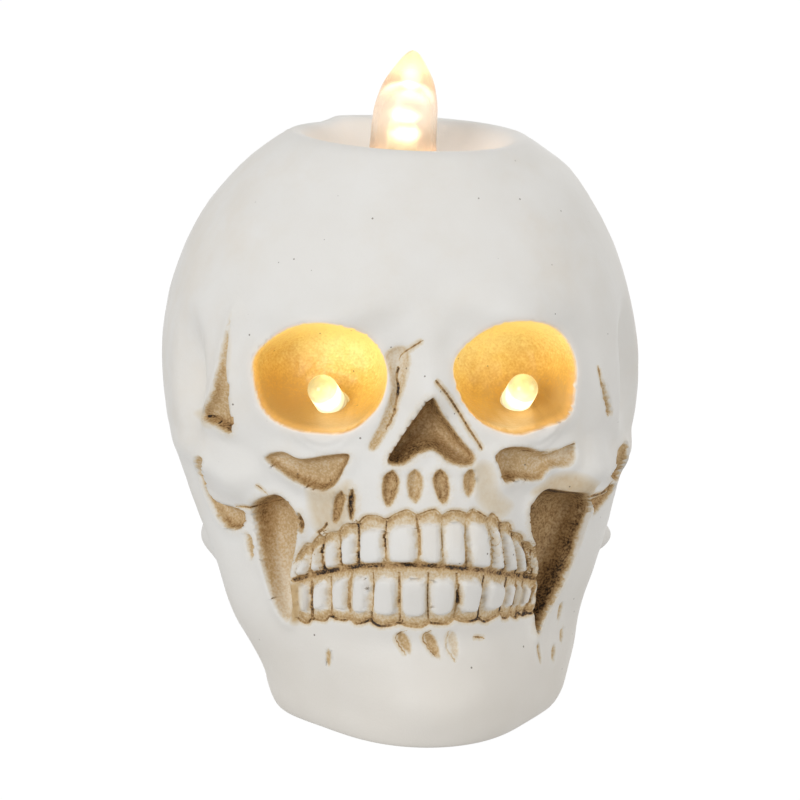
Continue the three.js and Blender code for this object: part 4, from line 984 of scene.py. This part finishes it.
def lampMaterial(name, foot, axis, colours, strengths, core=None):
    material, tree, shader = newMaterial(name)
    place = addNode(tree, 'TexCoord').outputs['Object']
    along = addNode(tree, 'VectorMath', {0: place, 1: tuple(axis)}, operation='DOT_PRODUCT').outputs['Value']
    start = float(np.dot(foot, axis)) * mm
    share = addNode(tree, 'MapRange', {0: along, 1: start, 2: start + lamp['length'] * mm}).outputs[0]
    strength = colourRamp(tree, share, [(at, (v, v, v, 1)) for at, v in strengths])
    level = addNode(tree, 'SeparateColor', {'Color': strength}).outputs[0]
    level = sums(tree, 'MULTIPLY', level, ramped(tree, noisy(tree, lampLook['clouds']), *lampLook['cloudy']))
    if core is not None:
        far = addNode(tree, 'VectorMath', {0: place, 1: tuple(core * mm)}, operation='DISTANCE')
        level = sums(tree, 'MULTIPLY', level, ramped(tree, far.outputs['Value'], *lampLook['core']))
    setInputs(tree, shader, {
        'Base Color': lampLook['body'], 'Roughness': lampLook['roughness'],
        'Emission Color': colourRamp(tree, share, colours),
        'Emission Strength': sums(tree, 'MULTIPLY', level, lampLook['glow'])})
    return material


plasticLook = {'grain': 900, 'mottle': (.3, .75), 'lighter': 1.5, 'lift': .006, 'clouds': 180,
               'cloudy': (.3, .7), 'shinier': .08, 'duller': .1, 'bump': {'Strength': .2, 'Distance': .0001}}


def plasticMaterial(name, colour, roughness):
    material, tree, shader = newMaterial(name)
    grain = noisy(tree, plasticLook['grain'])
    light = tuple(min(1, v * plasticLook['lighter'] + plasticLook['lift']) for v in colour[:3]) + (1,)
    mottled = mixed(tree, ramped(tree, grain, *plasticLook['mottle']), colour, light)
    dull = ramped(tree, noisy(tree, plasticLook['clouds']), *plasticLook['cloudy'],
                  roughness - plasticLook['shinier'], roughness + plasticLook['duller'])
    bump = addNode(tree, 'Bump', {**plasticLook['bump'], 'Height': grain})
    setInputs(tree, shader, {'Base Color': mottled, 'Roughness': dull, 'Normal': bump.outputs[0]})
    return material


metalLook = {'brush': (300, 4000, 300), 'detail': 2.0, 'darker': .72, 'streaks': (.3, .7), 'shinier': .08,
             'duller': .12}


def metalMaterial(name, colour, roughness):
    material, tree, shader = newMaterial(name)
    place = addNode(tree, 'TexCoord').outputs['Object']
    brushed = addNode(tree, 'Mapping', {'Vector': place, 'Scale': metalLook['brush']}).outputs[0]
    brush = addNode(tree, 'TexNoise', {'Vector': brushed, 'Scale': 1.0, 'Detail': metalLook['detail']})
    streaks = brush.outputs['Fac']
    dark = tuple(v * metalLook['darker'] for v in colour[:3]) + (1,)
    streaked = mixed(tree, streaks, dark, colour)
    dull = ramped(tree, streaks, *metalLook['streaks'], roughness - metalLook['shinier'],
                  roughness + metalLook['duller'])
    setInputs(tree, shader, {'Base Color': streaked, 'Roughness': dull, 'Metallic': 1})
    return material


def paint(obj, material):
    obj.data.materials.clear()
    obj.data.materials.append(material)


paint(skullPiece, resinMaterial())
paint(flamePiece, lensMaterial())
for side, (piece, foot, axis) in lampPieces.items():
    core = foot + axis * lampLook['coreAlong'] + lampLook['coreAside']
    paint(piece, lampMaterial('lamp ' + side, foot, axis, lampLook['eyeColours'], lampLook['eyeStrengths'],
                              core))
paint(flameLamp, lampMaterial('lamp in the flame', flameLampFoot, (0, 0, 1), lampLook['flameColours'],
                              lampLook['flameStrengths']))

finishes = {
    'black_plastic': plasticMaterial('black plastic', (.016, .016, .018, 1), .5),
    'grey_plastic': plasticMaterial('grey plastic', (.22, .23, .24, 1), .45),
    'steel': metalMaterial('plated steel', (.62, .63, .65, 1), .3),
    'brass': metalMaterial('stamped brass', (.66, .46, .2, 1), .32),
    'board': plasticMaterial('board lacquer', (.02, .14, .045, 1), .4),
    'resistor': plasticMaterial('resistor lacquer', (.6, .42, .22, 1), .4),
    'red_cover': plasticMaterial('red cover', (.4, .012, .01, 1), .45),
    'black_cover': plasticMaterial('black cover', (.012, .012, .013, 1), .45),
}
replaced = {'skull_casting', 'flame_lens', 'flame_led', 'eye_led_left', 'eye_led_right'}
for part in frame['record']['subparts']:
    if part['node'] not in replaced:
        paint(frame['nodes'][part['node']], finishes[part['material_slot']])
print('materials set')

# Stage: a white floor that keeps a little of the shadow and is clear from below, soft lights and the camera
stage = {'floorSize': 6.0, 'floorDrop': .0001, 'floorDiffuse': .1, 'floorColour': (.9, .9, .9, 1),
         'floorRoughness': .9, 'floorGlow': 1.06, 'worldLight': .46, 'worldSeen': 1.02}
bpy.ops.object.select_all(action='DESELECT')
bpy.ops.mesh.primitive_plane_add(size=stage['floorSize'], location=(0, 0, -stage['floorDrop']))
floor = bpy.context.object
floor.name = 'floor'
floor.visible_diffuse = False
material, tree, shader = newMaterial('floor')
setInputs(tree, shader, {'Base Color': stage['floorColour'], 'Roughness': stage['floorRoughness'],
                         'Specular IOR Level': 0})


# 1 where the camera sees it, also in a reflection or through the flame
def isSeen(tree):
    rays = addNode(tree, 'LightPath')
    seen = sums(tree, 'ADD', rays.outputs['Is Camera Ray'], rays.outputs['Is Glossy Ray'])
    return addNode(tree, 'Math', {0: seen, 1: rays.outputs['Is Transmission Ray']}, operation='ADD',
                   use_clamp=True).outputs[0]


white = addNode(tree, 'Emission', {'Color': (1, 1, 1, 1), 'Strength': stage['floorGlow']})
share = sums(tree, 'MULTIPLY', isSeen(tree), 1 - stage['floorDiffuse'])
blendShader = addNode(tree, 'MixShader', {0: share, 1: shader.outputs[0], 2: white.outputs[0]})
fromBelow = addNode(tree, 'NewGeometry').outputs['Backfacing']
clear = addNode(tree, 'BsdfTransparent')
floorShader = addNode(tree, 'MixShader', {0: fromBelow, 1: blendShader.outputs[0], 2: clear.outputs[0]})
setInputs(tree, tree.nodes['Material Output'], {'Surface': floorShader.outputs[0]})
paint(floor, material)

scene = bpy.context.scene
world = bpy.data.worlds.new('studio')
scene.world = world
world.use_nodes = True
tree = world.node_tree
backing = ramped(tree, isSeen(tree), 0, 1, stage['worldLight'], stage['worldSeen'])
setInputs(tree, tree.nodes['Background'], {'Color': (1, 1, 1, 1), 'Strength': backing})

lights = {  # place, size, watts, colour
    'key': ((-.66, -.84, .3), .5, 4.7, (1, 1, 1)),
    'fill': ((.95, -.42, .22), .7, 2.9, (1, .97, .93)),
    'top': ((0, .1, 1.0), .8, 1.3, (1, 1, 1)),
    'back': ((.4, 1.0, .6), .7, 1.4, (1, 1, 1)),
}
lightAim = (0, 0, .05)
glows = {  # radius, watts, colour
    'eye': (.0015, .001, (1, .95, .66)),
    'flame': (.001, .0005, (1, .66, .34)),
    'dish': (.002, .0006, (1, .64, .4)),
}
glowPlaces = {'eyeAlong': 6.5, 'eye': (.9, -1, 3.2), 'flame': (.6, 102), 'dish': (9, 2, 4)}  # mm


# Puts a light or the camera at a place, facing a way
def placed(name, data, place, facing=Vector((0, 0, -1))):
    obj = bpy.data.objects.new(name, data)
    scene.collection.objects.link(obj)
    obj.location = place
    obj.rotation_euler = facing.to_track_quat('-Z', 'Y').to_euler()
    return obj


def areaLight(name, place, size, watts, colour):
    light = bpy.data.lights.new(name, 'AREA')
    light.shape, light.size, light.energy, light.color = 'SQUARE', size, watts, colour
    placed(name, light, place, Vector(lightAim) - Vector(place))


def pointLight(name, place, radius, watts, colour):
    light = bpy.data.lights.new(name, 'POINT')
    light.shadow_soft_size, light.energy, light.color = radius, watts, colour
    obj = placed(name, light, np.array(place) * mm)
    obj.visible_glossy = obj.visible_transmission = False


for name, light in lights.items():
    areaLight(name, *light)
for side, (piece, foot, axis) in lampPieces.items():
    inward, forward, above = glowPlaces['eye']
    spot = foot + axis * glowPlaces['eyeAlong'] + (-math.copysign(inward, foot[0]), forward, above)
    pointLight('eye glow ' + side, spot, *glows['eye'])
across, above = glowPlaces['flame']
pointLight('flame glow', (across, dishY, above), *glows['flame'])
across, behind, above = glowPlaces['dish']
for x in (-across, across):
    pointLight('dish glow', (x, dishY + behind, dishFloor + above), *glows['dish'])

camera = {'azimuth': -6.0, 'elevation': 11.5, 'distance': .9, 'target': (0, 0, .0491), 'lens': 238.95,
          'sensor': 36, 'farClip': 20}
az, el = math.radians(camera['azimuth']), math.radians(camera['elevation'])
toCamera = Vector((math.sin(az) * math.cos(el), -math.cos(az) * math.cos(el), math.sin(el)))
data = bpy.data.cameras.new('camera')
data.lens, data.sensor_width, data.clip_end = camera['lens'], camera['sensor'], camera['farClip']
scene.camera = placed('camera', data, Vector(camera['target']) + toCamera * camera['distance'], -toCamera)
scene.view_settings.view_transform = 'Standard'

print('scene ready')
